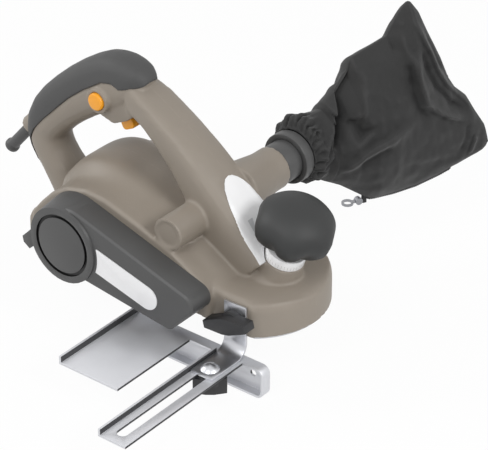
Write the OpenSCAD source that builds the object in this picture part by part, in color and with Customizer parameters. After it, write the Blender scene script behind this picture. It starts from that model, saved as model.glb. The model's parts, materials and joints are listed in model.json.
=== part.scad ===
// Hand-held electric planer with a front depth knob, a side belt drive, a cloth dust bag
// and a parallel edge guide.  Millimetres, +X forward, +Y towards the chip outlet, +Z up.
// The origin lies on the rear shoe's running face, at the middle of the sole's length.

/* [Sole] */
// Length of the sole, heel to toe
sole_l = 244; // [236:1:256]
// Width of the two shoes
sole_w = 93; // [90:0.5:93.5]
// Radius of the round toe
nose_r = 58.5; // [54:0.5:64]
// Thickness of the rear shoe
shoe_t = 5; // [4:0.5:6]
// Thickness of the front shoe at its rim
rim_t = 2.5; // [2:0.1:2.8]
// Deepest cut
cut_max = 2; // [1:0.5:2]

/* [Housing] */
// Height of the front deck above the sole, at its edge
deck_h = 30; // [27:0.5:33]
// Height of the heel
heel_h = 27; // [24:0.5:30]
// Height of the housing's side above the motor axis
flank_h = 37.5; // [36.5:0.5:40]
// How far the flank under the belt cover stands out
flank_out = 6; // [4:0.5:7]
// Radius of the motor hump
hump_r = 48.5; // [46:0.5:52]
// Half length of the motor hump across the tool
hump_half = 31; // [29:0.5:32]

/* [Handle] */
// Half width of the handle
handle_b = 17; // [15:0.5:18]
// How far the soft grip stands above the handle
grip_proud = 0.8; // [0.4:0.1:1.5]
// Thickness of the soft grip inside the handle's surface
grip_in = 2; // [1.5:0.1:3]
// Half width of the neck
neck_b = 21; // [19:0.5:23]

/* [Motor] */
// Motor axis, ahead of the middle of the sole
motor_x = -58; // [-62:0.5:-56]
// Motor axis, above the sole
motor_z = 36; // [36:0.5:39]
// Outer radius of the stator
stator_r = 28.5; // [26:0.5:28.5]
// Outer radius of the armature core
core_r = 16; // [14:0.5:18]
// Radius of the motor and drum shafts
shaft_r = 5; // [4:0.25:6]
// Outer radius of the ball bearings
bearing_r = 11; // [10:0.5:12]
// Width of the ball bearings
bearing_w = 6; // [5:0.5:6]

/* [Cutter drum] */
// Drum axis, ahead of the middle of the sole
drum_x = 28; // [26:0.5:29]
// Radius of the drum
drum_r = 20.5; // [19.5:0.5:20.5]
// Radius of the circle that the blades cut
cut_r = 22; // [21.6:0.1:22.2]
// Width of the drum and its blades
drum_l = 80; // [70:1:80]
// Thickness of a blade
blade_t = 1.2; // [1:0.1:2]
// Gap from the drum axis to the rear shoe
mouth_rear = 15.5; // [15:0.5:17]
// Gap from the drum axis to the front shoe
mouth_front = 18; // [17.5:0.5:20]

/* [Belt drive] */
// Pitch radius of the motor pulley
motor_pulley_r = 12; // [10.5:0.5:13]
// Pitch radius of the drum pulley
drum_pulley_r = 13; // [11.5:0.5:13.5]
// Width of the belt
belt_w = 11; // [9:0.5:13]
// Thickness of the belt
belt_t = 2.2; // [1.8:0.1:2.4]

/* [Belt cover] */
// How far the belt cover stands off the flank
cover_depth = 24; // [23.5:0.5:27]
// Wall of the belt cover
cover_wall = 2.5; // [2:0.1:2.8]
// Radius of the cover's round end at the housing
cover_r = 34; // [33:0.5:35]
// Outer radius of the ring groove in the round end
groove_r = 25.4; // [23:0.2:27]

/* [Depth knob] */
// Diameter of the palm knob
knob_d = 61.5; // [56:0.5:66]
// Height of the palm knob
knob_h = 42; // [40:1:46]
// Forward lean of the knob and of the front shoe's travel, degrees
knob_tilt = 18; // [16:0.5:20]
// Pedestal top, ahead of the middle of the sole
knob_x = 91.2; // [90:0.2:92.4]
// Pedestal top, above the sole
knob_z = 45.8; // [45:0.2:47]
// Radius of the pedestal
pedestal_r = 15; // [14:0.5:16]
// Radius of the depth spindle
spindle_r = 4; // [3:0.25:4.5]

/* [Chip outlet] */
// Chip outlet axis, ahead of the middle of the sole
outlet_x = 34; // [33:0.5:35]
// Chip outlet axis, above the sole
outlet_z = 74; // [73:0.5:75]
// Outer radius of the outlet tube
outlet_r = 17; // [16:0.5:18]
// Bore radius of the outlet tube
outlet_bore = 14.5; // [13:0.5:14.5]
// Reach of the outlet tube from the middle of the tool
outlet_y = 60; // [57:0.5:64]

/* [Dust bag] */
// Length of the bag beyond its collar
bag_l = 178; // [160:1:190]
// Thickness of the filled bag
bag_t = 62; // [50:1:70]
// Outer radius of the bag collar
collar_r = 20.5; // [19:0.5:22]

/* [Edge guide] */
// Sheet thickness of the edge guide
sheet_t = 2; // [1.5:0.1:2.5]
// Width of the bracket
bracket_w = 20; // [17:0.5:22]
// Inner radius of the bracket's bend
bend_r = 10; // [8:0.5:12]
// Width of the slotted bar
bar_w = 25; // [23:0.5:28]
// Length of the slotted bar
bar_l = 130; // [118:1:140]
// Width of the slot
slot_w = 8.6; // [8.4:0.1:9.5]
// Height of the fence
fence_h = 25; // [20:0.5:30]
// Length of the fence along the tool
fence_l = 124; // [116:1:130]
// Depth of the fence's table across the tool
table_l = 88; // [70:1:95]
// Width of the fence's table along the tool
table_w = 56; // [45:1:60]

/* [Hidden] */
$fn = 64;

// Clearances
run_gap = 0.03;
slide_gap = 0.05;
soft_gap = 0.3;
seat_gap = 0.1;
far = 400;

// Sole and housing
half_l = sole_l / 2;
half_w = sole_w / 2;
drum_gap = 1;
body_w = drum_l + 2 * (bearing_w + drum_gap);
half_b = body_w / 2;
nose_x = half_l - nose_r;
toe_gap = 0.8;
drum_z = cut_r;
chamber_r = cut_r + 2;
mouth_x0 = drum_x - mouth_rear;
mouth_x1 = drum_x + mouth_front;
edge_r = 7;

// Cross positions along the shafts
wall_y = half_b - bearing_w;
motor_half = 27;
flank_y = half_b + flank_out;
pulley_y0 = flank_y + 2.5;
pulley_w = belt_w + 1;
shaft_end = pulley_y0 + pulley_w + 3;
cover_y = flank_y + cover_depth;

// Depth knob, measured along its own axis from the pedestal's top
ring_h = 9;
ring_r = pedestal_r + 0.3;
knob_z0 = ring_h + 1.5;
boss_top = -33;
pocket_top = -20;
pad_t = 2;
pin_r = 3.5;
pin_y = 24;
pin_foot = -(knob_z - 1.5) / cos(knob_tilt);
boss_r = 8;

// Handle stations: x, z, half depth, half width
handle_path = [
    [-35, 145, 6, handle_b - 9], [-41, 147.5, 12, handle_b - 4], [-50, 146, 18.5, handle_b - 1],
    [-64, 140.5, 23, handle_b], [-86, 129.5, 21.5, handle_b], [-111, 111, 20, handle_b],
    [-129, 93, 18.5, handle_b], [-136.5, 76, 16, handle_b - 1], [-131, 60, 14, handle_b - 1],
    [-119, 44, 14, handle_b], [-106, 26, 16, handle_b + 2]
];
// Neck stations: x, top z, bottom z, half width
neck_path = [
    [-46, 150, 122, neck_b - 6], [-28, 142, 116, neck_b - 3], [0, 125, 88, neck_b - 1.5],
    [20, 111, 58, neck_b], [38, 96, 30, neck_b + 1], [60, 75, 20, neck_b + 1],
    [78, 56, 18, neck_b], [92, 43, 18, neck_b - 3]
];
// Grip's lower edge, seen from the side, front to rear
grip_edge = [
    [-22, 153], [-36, 147], [-51, 143], [-58, 146], [-68, 144], [-84, 133.5], [-100, 121],
    [-114, 107.5], [-128, 93.5], [-139, 81], [-145, 70], [-141, 55], [-128, 31]
];

// Trigger, switch, lock button, cord guard
trigger_x = -53.5;
trigger_z = 113.75;
trigger_lean = -26.6;
trigger_w = 13;
trigger_l = 12;
trigger_out = 8;
trigger_in = 10;
trigger_travel = 5;
switch_size = [26, 16, 20];
switch_up = trigger_in + trigger_travel + 1.5;
lock_x = -70;
lock_z = 129;
lock_r = 7;
lock_travel = 2.5;
lock_face = handle_b + 5;
lock_collar = handle_b + 3;
guard_seat = handle_path[7];
guard_x = guard_seat[0] - 16.5;
guard_z = guard_seat[1] - 1;
guard_turn = -138.7;
guard_r = 4.6;

// Park foot
foot_x = -half_l + 7;
foot_y = -36;
foot_w = 10;
foot_pin_z = 13;
foot_pin_r = 2;
foot_pin_half = 8;

// Edge guide
stud_x = 84;
stud_z = 14;
stud_r = 3;
bracket_top = 27;
bend_z = -3;
foot_top = bend_z - bend_r;
bar_top = foot_top - sheet_t - slide_gap;
bolt_r = 4;
bolt_l = 2 * sheet_t + 11;
bolt_y = -half_b - 31;
lip = 7;
fence_x1 = stud_x + 31;
fence_x0 = fence_x1 - fence_l;
slot_end = 12;
bar_y = -half_b - sheet_t - lip;
slot_y1 = bolt_y + 6;
slot_y0 = bar_y - bar_l + slot_end;

// Dust bag: stations of reach, low z, high z, share of the thickness
bag_x = outlet_x;
bag_y = outlet_y + 25.5;
bag_lean = 0.45;
bag_run = sqrt(1 - bag_lean * bag_lean);
bag_path = [
    [0, -21, 21, 0.66], [7, -25, 26, 0.78], [20, -28, 31, 0.86], [34, -36, 47, 0.94],
    [48, -46, 66, 1], [66, -57, 75, 1], [84, -60, 88, 0.94], [97, -60, 108, 0.84],
    [103, -59.5, 111, 0.78], [110, -59, 101, 0.72], [127, -55, 63, 0.56], [145, -50, 32, 0.4],
    [161, -46, 15, 0.28], [174, -42, -8, 0.16], [178, -40, -22, 0.08]
];
bag_scale = bag_l / 178;

// Geometry helpers

function sign1(v) = v < 0 ? -1 : 1;
function power(v, e) = sign1(v) * pow(abs(v), e);
function mean(ring) = [for (k = [0:2]) [for (p = ring) p[k]] * [for (p = ring) 1] / len(ring)];
function blend(p0, p1, p2, p3, t) =
    0.5 * (2 * p1 + (p2 - p0) * t + (2 * p0 - 5 * p1 + 4 * p2 - p3) * t * t
        + (3 * p1 - p0 - 3 * p2 + p3) * t * t * t);
// A curve through every station, with k steps between neighbours
function smooth(path, k) = let (n = len(path) - 1) concat(
    [for (i = [0:n - 1], j = [0:k - 1])
        blend(path[max(i - 1, 0)], path[i], path[i + 1], path[min(i + 2, n)], j / k)],
    [path[n]]);
// Slope of a planar path at station i, in degrees
function heading(path, i) = let (
    a = path[max(i - 1, 0)],
    b = path[min(i + 1, len(path) - 1)]) atan2(b[1] - a[1], b[0] - a[0]);

// A solid through rings of equally many points
module loft(rings) {
    n = len(rings[0]);
    m = len(rings);
    points = concat([for (r = rings) each r], [mean(rings[0]), mean(rings[m - 1])]);
    sides = [for (i = [0:m - 2], j = [0:n - 1]) let (k = (j + 1) % n) each [
        [i * n + j, i * n + k, (i + 1) * n + k], [i * n + j, (i + 1) * n + k, (i + 1) * n + j]]];
    caps = [for (j = [0:n - 1]) let (k = (j + 1) % n, e = (m - 1) * n) each [
        [k, j, m * n], [e + j, e + k, m * n + 1]]];
    polyhedron(points = points, faces = concat(sides, caps));
}

// One mesh of all its children
module moulded() {
    resize([0, 0, 0]) union() children();
}

// Turns a profile drawn in X and Z into a solid across the tool
module across(y0, y1) {
    translate([0, y1, 0]) rotate([90, 0, 0]) linear_extrude(y1 - y0) children();
}

// A cylinder across the tool
module rod(x, z, r, y0, y1) {
    translate([x, y1, z]) rotate([90, 0, 0]) cylinder(r = r, h = y1 - y0);
}

module tube(x, z, r, bore, y0, y1) {
    difference() {
        rod(x, z, r, y0, y1);
        rod(x, z, bore, y0 - 1, y1 + 1);
    }
}

// The knob's own axis, origin on the pedestal's top
module on_knob_axis() {
    translate([knob_x, 0, knob_z]) rotate([0, knob_tilt, 0]) children();
}

module spindle_rod(r, z0, z1, y = 0) {
    on_knob_axis() translate([0, y, z0]) cylinder(r = r, h = z1 - z0);
}

module on_trigger() {
    translate([trigger_x, 0, trigger_z]) rotate([0, trigger_lean, 0]) children();
}

module on_guard() {
    translate([guard_x, 0, guard_z]) rotate([0, guard_turn, 0]) children();
}

// Turns a piece of the drum half round, once for each blade
module each_blade() {
    for (a = [0, 180])
        translate([drum_x, 0, drum_z]) rotate([0, a + 90, 0]) children();
}

// Housing

// One cross section of the lower housing: flat sides, round shoulders, crowned top
function housing_ring(x, w, h, crown) = let (
    r = min(edge_r, w * 0.7),
    near = [for (a = [0:22.5:90]) [x, -w + r - r * cos(a), h - r + r * sin(a)]],
    flat = w - r,
    top = [for (u = [-0.5, 0, 0.5]) [x, u * flat, h + crown * (1 - abs(u))]],
    far_side = [for (a = [90:-22.5:0]) [x, w - r + r * cos(a), h - r + r * sin(a)]])
    concat([[x, -w, shoe_t]], near, top, far_side, [[x, w, shoe_t]]);

// Top edge of the housing's side, heel to deck: x, z
flank_top = [
    [-110, 36], [-101, 47], [motor_x - 32, motor_z + flank_h - 15], [motor_x - 17, motor_z + flank_h - 5],
    [motor_x + 3, motor_z + flank_h], [motor_x + 22, motor_z + flank_h - 1.2],
    [-2, motor_z + flank_h - 11.3], [31, motor_z + flank_h - 23.8], [56, deck_h + 5.5]
];
// Lower housing: x, half width, height, crown
side_path = concat(
    [[-half_l, half_b - 5, heel_h, 0], [-half_l + 3, half_b - 1, heel_h + 2, 1]],
    [for (p = flank_top) [p[0], half_b, p[1] - 0.4, p[0] < motor_x ? 3 : 8]],
    [[66, half_b, deck_h + 1, 3]]);
toe_r = nose_r - toe_gap;
toe_start = asin(half_b / toe_r);
toe_steps = 9;
toe_path = [for (i = [0:toe_steps]) let (
    a = 90 - toe_start,
    t = a + (89 - a) * i / toe_steps,
    drop = pow(i / toe_steps, 2))
    [nose_x + toe_r * sin(t), toe_r * cos(t), deck_h - 6 * drop, 1.15 - drop]];

module lower_housing() {
    loft([for (s = concat(smooth(side_path, 2), toe_path)) housing_ring(s[0], s[1], s[2], s[3])]);
}

// Flank that carries the belt cover, standing out from the near side
module near_flank() {
    outline = concat(flank_top, [[61, deck_h + 1], [63, 24], [62, shoe_t + 2], [-106, shoe_t + 2], [-113, 16]]);
    mid = [for (k = [0, 1]) [for (p = outline) p[k]] * [for (p = outline) 1] / len(outline)];
    inset = [for (p = outline) p + 2.2 * (mid - p) / norm(mid - p)];
    loft([for (r = [[outline, half_b - 10], [outline, flank_y - 2.2], [inset, flank_y]])
        [for (p = r[0]) [p[0], -r[1], p[1]]]]);
}

// Body between the motor hump and the neck: x, top z, bottom z, half width
saddle_path = [[motor_x, 78, 20, 31], [-30, 79, 20, 31], [-8, 71, 20, 30], [12, 63, 20, 28], [30, 54, 20, 26]];
module saddle() {
    loft([for (s = smooth(saddle_path, 2)) neck_ring(s, 0, 16)]);
}

hump_edge = 12;
module hump() {
    translate([motor_x, 0, motor_z]) rotate([90, 0, 0])
        rotate_extrude($fn = 44)
            polygon(concat(
                [[0, -hump_half]],
                [for (e = [-1, 1], a = [0:30:90]) let (t = e < 0 ? a - 90 : a)
                    [hump_r - hump_edge + hump_edge * cos(t), e * (hump_half - hump_edge) + hump_edge * sin(t)]],
                [[0, hump_half]]));
}

function neck_ring(s, grow, sides) = let (
    c = (s[1] + s[2]) / 2,
    h = (s[1] - s[2]) / 2 + grow,
    w = s[3] + grow)
    [for (j = [0:sides - 1]) let (t = 360 * j / sides)
        [s[0], -w * power(cos(t), 0.52), c + h * power(sin(t), 0.52)]];

// Frame of the neck's sloping front: x down the slope from the leaf's tip, z out of it
slope_top = [38.5, 0, 95.5];
slope_lean = 45;
neck_end = 68;
module on_slope() {
    translate(slope_top) rotate([0, slope_lean, 0]) children();
}

module neck(grow = 0) {
    difference() {
        loft([for (s = smooth(neck_path, 2)) neck_ring(s, grow, 20)]);
        // Square end beside the pedestal
        on_slope() translate([neck_end, -far / 2, -far / 2]) cube(far);
    }
}

// Raised band along the top of the neck
module neck_band() {
    band = [for (s = neck_path) if (s[0] > -20 && s[0] < 45) [s[0], s[1] + 1, s[1] - 14, 11]];
    loft([for (s = smooth(band, 3)) neck_ring(s, 0, 16)]);
}

function handle_ring(path, i, grow, sides) = let (
    s = path[i],
    a = heading(path, i) + 90,
    d = s[2] + grow,
    b = s[3] + grow)
    [for (j = [0:sides - 1]) let (t = 360 * j / sides, u = d * power(cos(t), 0.8))
        [s[0] + u * cos(a), b * power(sin(t), 0.8), s[1] + u * sin(a)]];

module handle(grow = 0) {
    path = smooth(handle_path, 2);
    loft([for (i = [0:len(path) - 1]) handle_ring(path, i, grow, 18)]);
}

module grip_zone() {
    across(-far, far) polygon(concat(grip_edge, [[-133, 20], [-190, 20], [-190, 200], [-22, 200]]));
}

module handle_core() {
    difference() {
        handle();
        grip_zone();
    }
    handle(-grip_in);
}

// Wedge under the handle's front that the trigger comes out of
module trigger_wedge() {
    across(-handle_b + 4, handle_b - 4)
        polygon([[-80, 116], [-60, 110.5], [-47, 117], [-36, 126], [-36, 140], [-80, 138]]);
}

module outlet_tube() {
    rod(outlet_x, outlet_z, outlet_r, 0, outlet_y);
    translate([outlet_x, neck_b - 6, outlet_z]) rotate([-90, 0, 0])
        cylinder(r1 = outlet_r + 5, r2 = outlet_r, h = outlet_y - neck_b - 6);
}

// Round boss with a sunk disc above the near flank
flank_boss_x = 24;
flank_boss_z = 64.4;
flank_boss_r = 13;
module flank_boss() {
    difference() {
        rod(flank_boss_x, flank_boss_z, flank_boss_r, -flank_y + 1, -neck_b + 8);
        rod(flank_boss_x, flank_boss_z, flank_boss_r - 2.6, -far, -flank_y + 2.2);
    }
}

// Stand of the depth knob, flared at the deck
module pedestal(grow = 0) {
    on_knob_axis() {
        translate([0, 0, -26]) cylinder(r1 = pedestal_r + 5 + grow, r2 = pedestal_r + grow, h = 28);
        translate([0, 0, -22]) cylinder(r1 = pedestal_r + 11 + grow, r2 = pedestal_r + 2.5 + grow, h = 10);
    }
}

module housing_form() {
    $fn = 36;
    lower_housing();
    near_flank();
    hump();
    saddle();
    neck();
    neck_band();
    handle_core();
    trigger_wedge();
    outlet_tube();
    flank_boss();
    pedestal();
    rod(lock_x, lock_z, lock_r + 3, -lock_collar, -2);
    on_guard() translate([0, 0, -14]) cylinder(r = guard_r + 4, h = 19);
}

// Thin wall of the toe that hides the front shoe's rim
skirt_z = 1.6;
skirt_in = 2;
rim_in = 3;
module toe_skirt() {
    translate([0, 0, skirt_z]) linear_extrude(shoe_t + 2 - skirt_z) difference() {
        intersection() {
            translate([nose_x, 0]) circle(r = toe_r, $fn = 72);
            translate([mouth_x1 + 4, -half_b]) square([far, body_w]);
        }
        shoe_outline(skirt_in);
    }
}

module front_pocket() {
    translate([0, 0, shoe_t - 1]) linear_extrude(pad_t + 1.4) shoe_outline(3.5);
    spindle_rod(boss_r + 1.5, -60, pocket_top);
}

// A bore with n flats clears the round piece in it when its corners lie this much further out
function round_up(n) = 1 / cos(180 / n);
module bore(x, z, r, y0, y1) {
    rod(x, z, r * round_up($fn), y0, y1);
}

module bores() {
    bore(motor_x, motor_z, stator_r + seat_gap, -motor_half, motor_half);
    bore(motor_x, motor_z, stator_r - 3, -motor_half - 9, -motor_half + 1);
    bore(motor_x, motor_z, shaft_r + 1.5, -far, far_bearing_y + 1);
    bore(motor_x, motor_z, bearing_r, -far, -wall_y);
    bore(motor_x, motor_z, bearing_r, motor_half - 1, far_bearing_y + bearing_w);
    bore(drum_x, drum_z, chamber_r, -drum_l / 2 - drum_gap, drum_l / 2 + drum_gap);
    bore(drum_x, drum_z, bearing_r, -far, -wall_y);
    bore(drum_x, drum_z, bearing_r, wall_y, far);
    bore(drum_x, drum_z, shaft_r + 1.5, -far, far);
    bore(outlet_x, outlet_z, outlet_bore, -10, far);
    spindle_rod((spindle_r + run_gap) * round_up($fn), -60, 20);
    for (y = [-pin_y, pin_y]) spindle_rod((pin_r + run_gap) * round_up($fn), -60, -26, y);
    bore(lock_x, lock_z, lock_r + slide_gap, -far, -7);
    on_guard() translate([0, 0, -15]) cylinder(r = (guard_r + seat_gap) * round_up($fn), h = 40);
    bore(stud_x, stud_z, stud_r + run_gap, -far, -half_b + 15);
    bore(foot_x, foot_pin_z, foot_pin_r, foot_y - foot_pin_half, foot_y + foot_pin_half);
    bore(foot_x, foot_pin_z, foot_pin_r + 1.6, -far, foot_y - foot_pin_half + 0.5);
    for (p = screw_places) {
        bore(p[0], p[1], screw_r, -12, far);
        bore(p[0], p[1], screw_head_r + 0.2, half_b - 5, far);
    }
    for (p = shoe_screw_places) translate([p[0], p[1], 0]) cylinder(r = screw_r * round_up($fn), h = 14);
    for (p = peg_places) bore(p[0], p[1], peg_r, -far, -flank_y + 6);
}
far_bearing_y = 36;
screw_r = 1.8;
screw_head_r = 3.4;
screw_places = [[-half_l + 18, 18], [-18, 14], [6, 46], [62, 14]];
shoe_screw_places = [for (x = [-half_l + 24, -5], y = [-18, 18]) [x, y]];
peg_r = 2;
peg_ring = cover_r - cover_wall - 0.8;
peg_places = [for (a = [110, 180, 250]) [motor_x + peg_ring * cos(a), motor_z + peg_ring * sin(a)]];

module hollows() {
    // Chip way from the drum up to the outlet
    translate([drum_x - 10, -13, drum_z + 14]) cube([16, 26, outlet_z - drum_z - 14]);
    on_trigger() {
        translate([-trigger_l / 2 - 0.4, -trigger_w / 2 - 0.4, -20])
            cube([trigger_l + 0.8, trigger_w + 0.8, 20 + switch_up]);
        translate([-switch_size[0] / 2 - seat_gap - 6, -switch_size[1] / 2 - seat_gap, switch_up - 0.5])
            cube(switch_size + [2 * seat_gap, 2 * seat_gap, 0.5 + seat_gap]);
    }
    // Slot of the park foot
    translate([-half_l - 20, foot_y - foot_w / 2 - 0.5, -1])
        cube([20 + foot_x + half_l + 7, foot_w + 1, foot_pin_z + 7.5]);
    // Cooling slots beside the motor's far bearing
    for (dx = [-25, -18.5, 18.5, 25])
        translate([motor_x + dx - 1.5, motor_half - 2, motor_z - 12]) cube([3, 40, 24]);
    front_pocket();
    // Room for the knob's ring where the neck comes down to the pedestal
    spindle_rod(ring_r + 0.9, 0, 40);
}

module housing(side) {
    color([0.6, 0.56, 0.5]) moulded() difference() {
        intersection() {
            union() {
                intersection() {
                    housing_form();
                    translate([-far, -far, shoe_t]) cube(2 * far);
                }
                toe_skirt();
            }
            translate([-far, side < 0 ? -far : 0, 0]) cube([2 * far, far, far]);
        }
        hollows();
        bores($fn = 20);
    }
}

module near_housing() {
    housing(-1);
}

module far_housing() {
    housing(1);
}

module grip_overmould() {
    color([0.33, 0.33, 0.33]) moulded() difference() {
        intersection() {
            handle(grip_proud);
            grip_zone();
        }
        handle(-grip_in + seat_gap);
        neck(0.3);
        on_guard() translate([0, 0, -20]) cylinder(r = guard_r + 4.5, h = 40);
        translate([-far, -far, -far]) cube([2 * far, 2 * far, far + heel_h + 12]);
    }
}

// White leaf on the sloping front of the neck
// Half of its outline: reach down the slope, half width
leaf_edge = [[0, 0], [1, 4], [4, 7.5], [8, 10.5], [14, 13], [22, 15.2], [32, 17.2], [42, 18.7], [52, 19.3], [75, 19.3]];
module leaf_prism() {
    outline = concat(leaf_edge, [for (i = [len(leaf_edge) - 1:-1:1]) [leaf_edge[i][0], -leaf_edge[i][1]]]);
    on_slope() translate([0, 0, -12]) linear_extrude(42) polygon(outline);
}

module front_panel() {
    color("white") moulded() difference() {
        intersection() {
            neck(1);
            leaf_prism();
        }
        neck(seat_gap);
        neck_band();
        spindle_rod(ring_r + 0.9, -40, 60);
        lower_housing();
        pedestal(0.2);
        on_slope() translate([neck_end - 0.4, -far / 2, -far / 2]) cube(far);
    }
}

// Belt cover

// Arm of the cover, from inside the round end to the slanted end past the drum pulley
module arm_outline(shrink) {
    hull() {
        translate([motor_x + 8, motor_z + 4.5]) circle(r = cover_r - 6.5 - shrink);
        translate([drum_x + 27, drum_z + 5]) circle(r = 10 - shrink);
        translate([drum_x + 12.5, drum_z - 13]) circle(r = 8 - shrink);
    }
}

arm_y = cover_y - 2;
module cover_form(shrink, y1) {
    edge = 1.6;
    hull() {
        across(-arm_y + edge + shrink, y1) arm_outline(shrink);
        across(-arm_y + shrink, y1) arm_outline(shrink + edge);
    }
    translate([motor_x, y1, motor_z]) rotate([90, 0, 0])
        cylinder(r1 = cover_r - shrink, r2 = cover_r - 3 - shrink, h = cover_y + y1 - 2 * shrink);
}

module belt_cover() {
    $fn = 36;
    color([0.31, 0.31, 0.31]) moulded() {
        difference() {
            cover_form(0, -flank_y);
            cover_form(cover_wall, -flank_y + 1);
            tube(motor_x, motor_z, groove_r, groove_r - 2.6, -cover_y - 1, -cover_y + 2.2);
        }
        for (p = peg_places) rod(p[0], p[1], peg_r, -flank_y - 6, -flank_y + 5);
    }
}

// Blank plate let into the arm of the cover
plate_r = 10;
module label_plate() {
    color("white") difference() {
        across(-arm_y - 0.8, -arm_y - slide_gap) hull() {
            translate([motor_x + 33, motor_z - 1.6]) circle(r = plate_r);
            translate([drum_x - 5, drum_z - 0.2]) circle(r = plate_r - 0.2);
        }
        rod(motor_x, motor_z, cover_r, -far, far);
    }
}

module housing_screws() {
    color([0.55, 0.55, 0.57]) for (p = screw_places) {
        rod(p[0], p[1], screw_r - slide_gap, -11, half_b - 4);
        rod(p[0], p[1], screw_head_r, half_b - 5, half_b - 2);
    }
}

// Sole

module shoe_outline(inset) {
    intersection() {
        translate([nose_x, 0]) circle(r = nose_r - inset, $fn = 128);
        translate([mouth_x1 + inset, -half_w + inset]) square([far, sole_w - 2 * inset]);
    }
}

module rear_shoe() {
    color([0.8, 0.8, 0.82]) difference() {
        linear_extrude(shoe_t) union() {
            translate([-half_l + 8, -half_w]) square([mouth_x0 + half_l - 8, sole_w]);
            translate([-half_l, -half_w + 8]) square([9, sole_w - 16]);
            for (s = [-1, 1]) translate([-half_l + 8, s * (half_w - 8)]) circle(r = 8);
        }
        translate([-half_l - 20, foot_y - foot_w / 2 - 0.5, -1])
            cube([20 + foot_x + half_l + 7, foot_w + 1, shoe_t + 2]);
        for (p = shoe_screw_places) translate([p[0], p[1], 0]) {
            translate([0, 0, -1]) cylinder(r = screw_r + 0.2, h = shoe_t + 2);
            translate([0, 0, -0.01]) cylinder(r1 = screw_head_r + 0.5, r2 = screw_r + 0.2, h = 2.6);
        }
    }
}

module shoe_screws() {
    color([0.55, 0.55, 0.57]) for (p = shoe_screw_places) translate([p[0], p[1], 0.4]) {
        cylinder(r1 = screw_head_r, r2 = screw_r, h = 2.2);
        cylinder(r = screw_r - slide_gap, h = 13);
    }
}

module front_shoe() {
    color([0.8, 0.8, 0.82]) difference() {
        union() {
            linear_extrude(rim_t) shoe_outline(rim_in);
            linear_extrude(rim_t + pad_t) shoe_outline(5);
            intersection() {
                spindle_rod(boss_r, -60, boss_top);
                translate([0, -far, 0.5]) cube([far, 2 * far, far]);
            }
        }
        spindle_rod(spindle_r + run_gap, -42.3, 0);
        for (y = [-pin_y, pin_y]) spindle_rod(pin_r + 0.01, pin_foot, 0, y);
        // Groove that guides the toe along a corner being chamfered
        translate([mouth_x1 - 1, 0, 0]) rotate([45, 0, 0]) cube([far, 2.4, 2.4], center = true);
    }
}

module shoe_guide_pins() {
    color([0.7, 0.7, 0.72]) for (y = [-pin_y, pin_y]) spindle_rod(pin_r, pin_foot + 0.1, -29, y);
}

// Depth adjustment

module depth_spindle() {
    color([0.7, 0.7, 0.72]) spindle_rod(spindle_r, -39.5, knob_z0 + 26);
}

spring_wire = 0.8;
spring_r = 6.2;
spring_turns = 4;
module depth_spring() {
    steps = 8 * spring_turns;
    z0 = boss_top + spring_wire + 0.05;
    z1 = pocket_top - spring_wire - 0.05;
    rings = [for (i = [0:steps]) let (a = 360 * i * spring_turns / steps, z = z0 + (z1 - z0) * i / steps)
        [for (j = [0:5]) let (r = spring_r + spring_wire * cos(60 * j))
            [r * cos(a), r * sin(a), z + spring_wire * sin(60 * j)]]];
    color([0.6, 0.6, 0.62]) on_knob_axis() loft(rings);
}

module depth_ring() {
    color("white") difference() {
        spindle_rod(ring_r, soft_gap, ring_h);
        spindle_rod(spindle_r, -10, 20);
    }
}

knob_path = [
    [0, 13], [2.5, 17], [6, 23], [10, 28], [15, 31], [20, 32], [25, 31.4], [30, 29], [34.5, 24.8],
    [38.5, 18.4], [41, 11], [42, 3]
];
knob_lobes = 6;
module depth_knob() {
    rings = [for (s = smooth(knob_path, 2)) let (
        u = s[0] / 42,
        r = s[1] * knob_d / 64,
        lobe = 2.2 * max(0, 1 - abs(u - 0.3) / 0.5))
        [for (j = [0:29]) let (a = -12 * j, q = r + lobe * (cos(knob_lobes * a) - 0.6))
            [q * cos(a), q * sin(a), knob_z0 + knob_h * u]]];
    color([0.26, 0.27, 0.26]) difference() {
        on_knob_axis() loft(rings);
        spindle_rod(spindle_r, -5, knob_z0 + 26);
    }
}

// Cutter drum

module cutter_drum() {
    color([0.6, 0.6, 0.63]) difference() {
        union() {
            rod(drum_x, drum_z, drum_r, -drum_l / 2, drum_l / 2);
            rod(drum_x, drum_z, shaft_r, -shaft_end, half_b - 0.5);
        }
        each_blade() {
            translate([-7, -far, seat_r]) cube([14, 2 * far, 20]);
            for (y = clamp_ys) translate([-1.5, y, seat_r - 6]) cylinder(r = 2, h = 10);
        }
    }
}
clamp_ys = [-28, 0, 28];
seat_r = drum_r - 8;
blade_x = 3.6;

module blades() {
    color([0.82, 0.83, 0.85]) each_blade()
        translate([blade_x, -drum_l / 2, seat_r])
            cube([blade_t, drum_l, sqrt(cut_r * cut_r - pow(blade_x + blade_t, 2)) - seat_r]);
}

module blade_clamps() {
    color([0.45, 0.45, 0.48]) each_blade() difference() {
        translate([-6.8, -drum_l / 2, seat_r]) cube([6.8 + blade_x - slide_gap, drum_l, 6]);
        for (y = clamp_ys) translate([-1.5, y, seat_r - 6]) cylinder(r = 2 + slide_gap, h = 20);
    }
}

module clamp_screws() {
    color([0.35, 0.35, 0.37]) each_blade() for (y = clamp_ys) translate([-1.5, y, seat_r - 5.5]) {
        cylinder(r = 2 - slide_gap, h = 11.5);
        translate([0, 0, 11.5]) cylinder(r = 3, h = 1.3, $fn = 6);
    }
}

module drum_bearings() {
    color([0.68, 0.68, 0.7]) for (s = [-1, 1]) {
        y0 = s < 0 ? -half_b : wall_y;
        tube(drum_x, drum_z, bearing_r, shaft_r + run_gap, y0, y0 + bearing_w);
    }
}

module bearing_cap() {
    color([0.31, 0.31, 0.31]) difference() {
        rod(drum_x, drum_z, bearing_r + 4, half_b, half_b + 3);
        rod(drum_x, drum_z, shaft_r + 1.5, half_b - 1, half_b + 1.5);
    }
}

// Belt drive

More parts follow.
